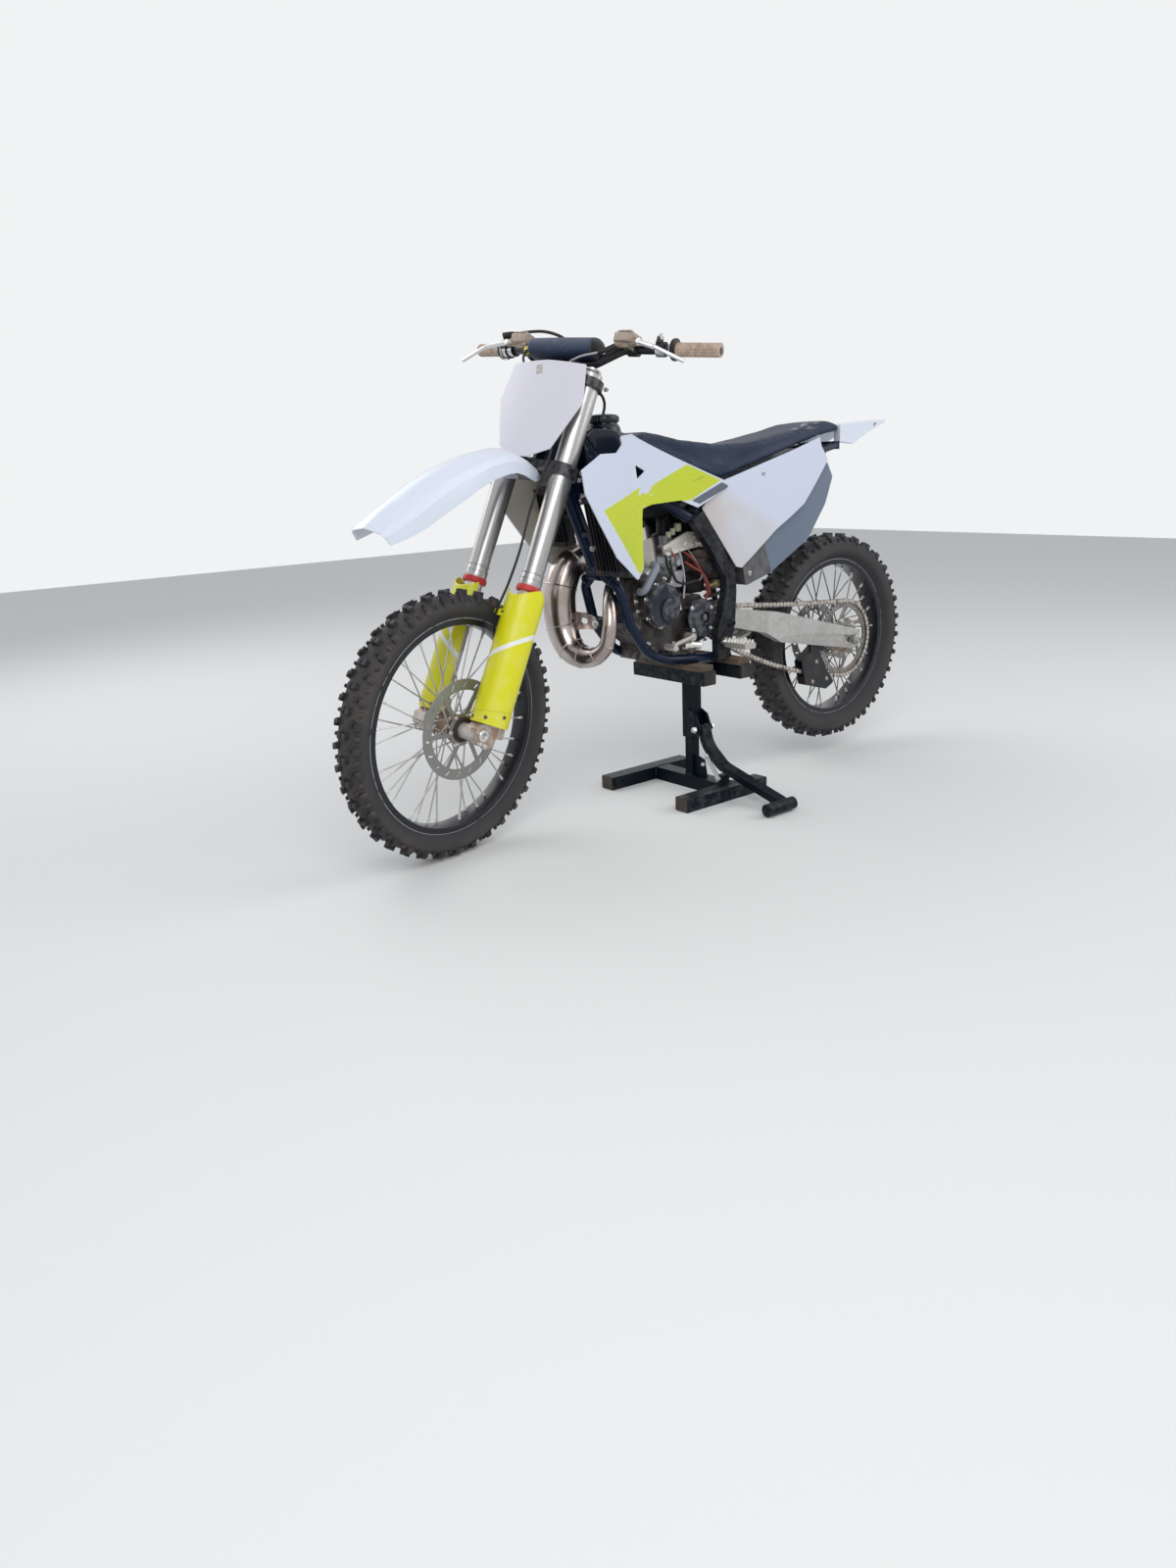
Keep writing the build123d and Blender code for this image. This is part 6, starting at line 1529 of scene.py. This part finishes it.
def tyre(end, matrix, radius, half_width, rim_radius, count, material, knob_material):
    """A carcass turned from a smooth profile, and knobs in eight staggered rows. A knob
    is a square with cut corners, drawn in from foot to top. Its top follows the crown's
    curve, and each point is reach x the cosine and sine of its angle round the axle."""
    side = np.array([(rim_radius - 0.012, half_width * 0.46), (rim_radius - 0.001, half_width * 0.53),
                     (rim_radius + 0.0015, half_width * 0.60), (rim_radius + 0.005, half_width * 0.60),
                     (rim_radius + 0.007, half_width * 0.64), (rim_radius + 0.014, half_width * 0.83),
                     (rim_radius + 0.022, half_width * 0.93), (rim_radius + 0.030, half_width * 0.955),
                     (radius - 0.033, half_width * 0.96), (radius - 0.028, half_width * 0.94),
                     (radius - 0.021, half_width * 0.78), (radius - 0.0165, half_width * 0.55),
                     (radius - 0.0140, half_width * 0.30), (radius - 0.0132, 0.0)])
    profile = np.vstack((side, side[-2::-1] * [1, -1]))
    angle = np.arange(180) * 2 * pi / 180
    skin = np.stack((profile[:, 0] * np.cos(angle)[:, None],
                     np.broadcast_to(profile[:, 1], (180, len(profile))),
                     profile[:, 0] * np.sin(angle)[:, None]), axis=-1)
    carcass = placed(surface(end + "_tyre_carcass", skin, closed=(True, True)), matrix)
    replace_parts(shown(carcass, material, end + "_wheel", sharp=60.0), end + "_tyre")

    rows = np.array([  # place across, half size across and round, share of a pitch on
        (0.180, 0.130, 0.0080, 0.00), (-0.180, 0.130, 0.0080, 0.00), (0.530, 0.115, 0.0076, 0.54),
        (-0.530, 0.115, 0.0076, 0.54), (0.865, 0.115, 0.0086, 0.44), (-0.865, 0.115, 0.0086, 0.44),
        (0.870, 0.090, 0.0045, 0.96), (-0.870, 0.090, 0.0045, 0.96)])
    number, row = (part.ravel() for part in np.meshgrid(np.arange(count), np.arange(len(rows))))
    middle_y, half_y, half_round, shift = (rows[row].T * [[half_width], [half_width], [radius / 0.3465], [1]])
    uneven = 1 + 0.05 * np.sin(number * 2.7 + row * 1.9)
    turn = (number + shift) * 2 * pi / count + 0.03 * np.sin(number * 4.1 + row) / count
    corner = np.array([(1, -0.62), (1, 0.62), (0.62, 1), (-0.62, 1), (-1, 0.62), (-1, -0.62), (-0.62, -1),
                       (0.62, -1)])
    level = np.array([(1.16, -0.15), (1.0, 0.35), (0.95, 0.93), (0.84, 1.0), (0.0, 1.0)])
    lengths = corner[:, 0] * level[:, :1] * (half_round * uneven)[:, None, None]
    y = middle_y[:, None, None] + corner[:, 1] * level[:, :1] * half_y[:, None, None]
    top = radius - 0.013 * np.clip((np.abs(y) / half_width - 0.36) / 0.64, 0, 1.02)
    tall = np.where(row > 5, 0.007, 0.0135)[:, None, None]
    reach = top - (1 - level[:, 1])[None, :, None] * tall - np.where(row > 5, 0.005, 0.0)[:, None, None]
    theta = turn[:, None, None] + lengths / radius
    skin = np.stack((reach * np.cos(theta), y, reach * np.sin(theta)), axis=-1)
    knobs = placed(surface(end + "_tyre_knobs", skin, closed=(False, True)), matrix)
    shown(knobs, knob_material, end + "_wheel", 0.0, 40.0)


def lacing(end, matrix, hub_radius, hub_half, rim_radius, made):
    """Thirty-six wires from the hub's flanges to the rim, in two crossed sets a side,
    each with a head in the flange and a nipple in the rim."""
    body = end + "_wheel"
    flange, bored, well = hub_half - 0.006, hub_radius - 0.004, rim_radius - 0.0213
    side, lead, number = (part.ravel() for part in np.meshgrid([1, -1], [1, -1], np.arange(9)))
    at_hub = 2 * pi * (number + np.where(side > 0, 0.25, 0)) / 9
    at_rim = at_hub + lead * radians(48)
    off = 0.0027  # from the flange's face to the wire's middle
    y_hub = side * np.where(lead > 0, flange + off, flange - 0.005 - off)
    y_rim = side * np.where(lead > 0, 0.011, 0.006)
    start = np.stack((bored * np.cos(at_hub), y_hub, bored * np.sin(at_hub)), axis=-1)
    stop = np.stack((well * np.cos(at_rim), y_rim, well * np.sin(at_rim)), axis=-1)
    run = (stop - start) / np.linalg.norm(stop - start, axis=1, keepdims=True)
    wires = turned(end + "_spoke_wires", start, stop, [(0, 0.00205), (1, 0.00190)], made, body, 8)
    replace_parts(placed(wires, matrix), end + "_spokes")
    nipple = [(0, 0.0024), (0.1, 0.0033), (0.6, 0.0033), (0.65, 0.0042), (1, 0.0042)]
    placed(turned(end + "_spoke_nipples", stop - run * 0.019, stop - run * 0.0002, nipple, nipple_steel, body,
                  8), matrix)
    beyond = np.stack((np.zeros(36), side * lead * 0.0032, np.zeros(36)), axis=-1)
    placed(turned(end + "_spoke_heads", start, start + beyond, [(0, 0.0036), (0.6, 0.0034), (1, 0.0018)],
                  nipple_steel, body, 10), matrix)


nipple_steel = finish("nipple_steel", (0.72, 0.72, 0.72), 0.3, metallic=0.9, amount=0.15)
wheels = (  # end, its frame, tyre's radius and half width, rim's radius, knobs in a row, hub's radius
            # and half length, the disc's place along the axle, grey of the wires, share of mud
    ("front", to_front_wheel, 0.3465, 0.044, 0.279, 36, 0.036, 0.034, 0.044, 0.56, 0.9),
    ("rear", to_rear_wheel, 0.336, 0.056, 0.254, 32, 0.040, 0.046, -0.052, 0.16, 0.45),
)
for (end, matrix, radius, half_width, rim_radius, count, hub_radius, hub_half, disc_y, wire_grey,
     mud_share) in wheels:
    rim_black, hub_alloy, tyre_rubber, knob_rubber = wheel_finishes(end, matrix, rim_radius, disc_y,
                                                                    mud_share)
    wire_steel = finish(end + "_wire_steel", (wire_grey,) * 3, 0.3, metallic=0.95, amount=0.3)
    dressed(end + "_rim", rim_black, 0.0006)
    dressed(end + "_hub", hub_alloy, 0.0006)
    tyre(end, matrix, radius, half_width, rim_radius, count, tyre_rubber, knob_rubber)
    lacing(end, matrix, hub_radius, hub_half, rim_radius, wire_steel)
    out = 1 if disc_y > 0 else -1
    placed(bolts(end + "_disc_bolts", ring_of((0, disc_y + out * 0.0014, 0), 0.0385, 6, 0.2), (0, out, 0),
                 0.0055, 0.004, bolt_steel, end + "_wheel"), matrix)
dressed("rear_brake", lug_alloy, 0.002)

spacer = [(0, 0.0125), (0, 0.0195), (0.10, 0.0205), (0.85, 0.0205), (1.0, 0.0185), (1.0, 0.0125)]
steered(turned("front_wheel_spacers", [(0.057, 0.0475, 0), (0.057, -0.0365, 0)], pair(0.057, 0.0755, 0),
               spacer, lug_alloy, "steering", 32, bevel=0.0006))
seal_ring = [(0, 0.0215), (0.2, 0.0320), (0.6, 0.0320), (1.0, 0.0285), (1.0, 0.0215)]
placed(turned("front_hub_seals", [(0, 0.0456, 0)], [(0, 0.0505, 0)], seal_ring, case_rubber, "front_wheel",
              40), to_front_wheel)
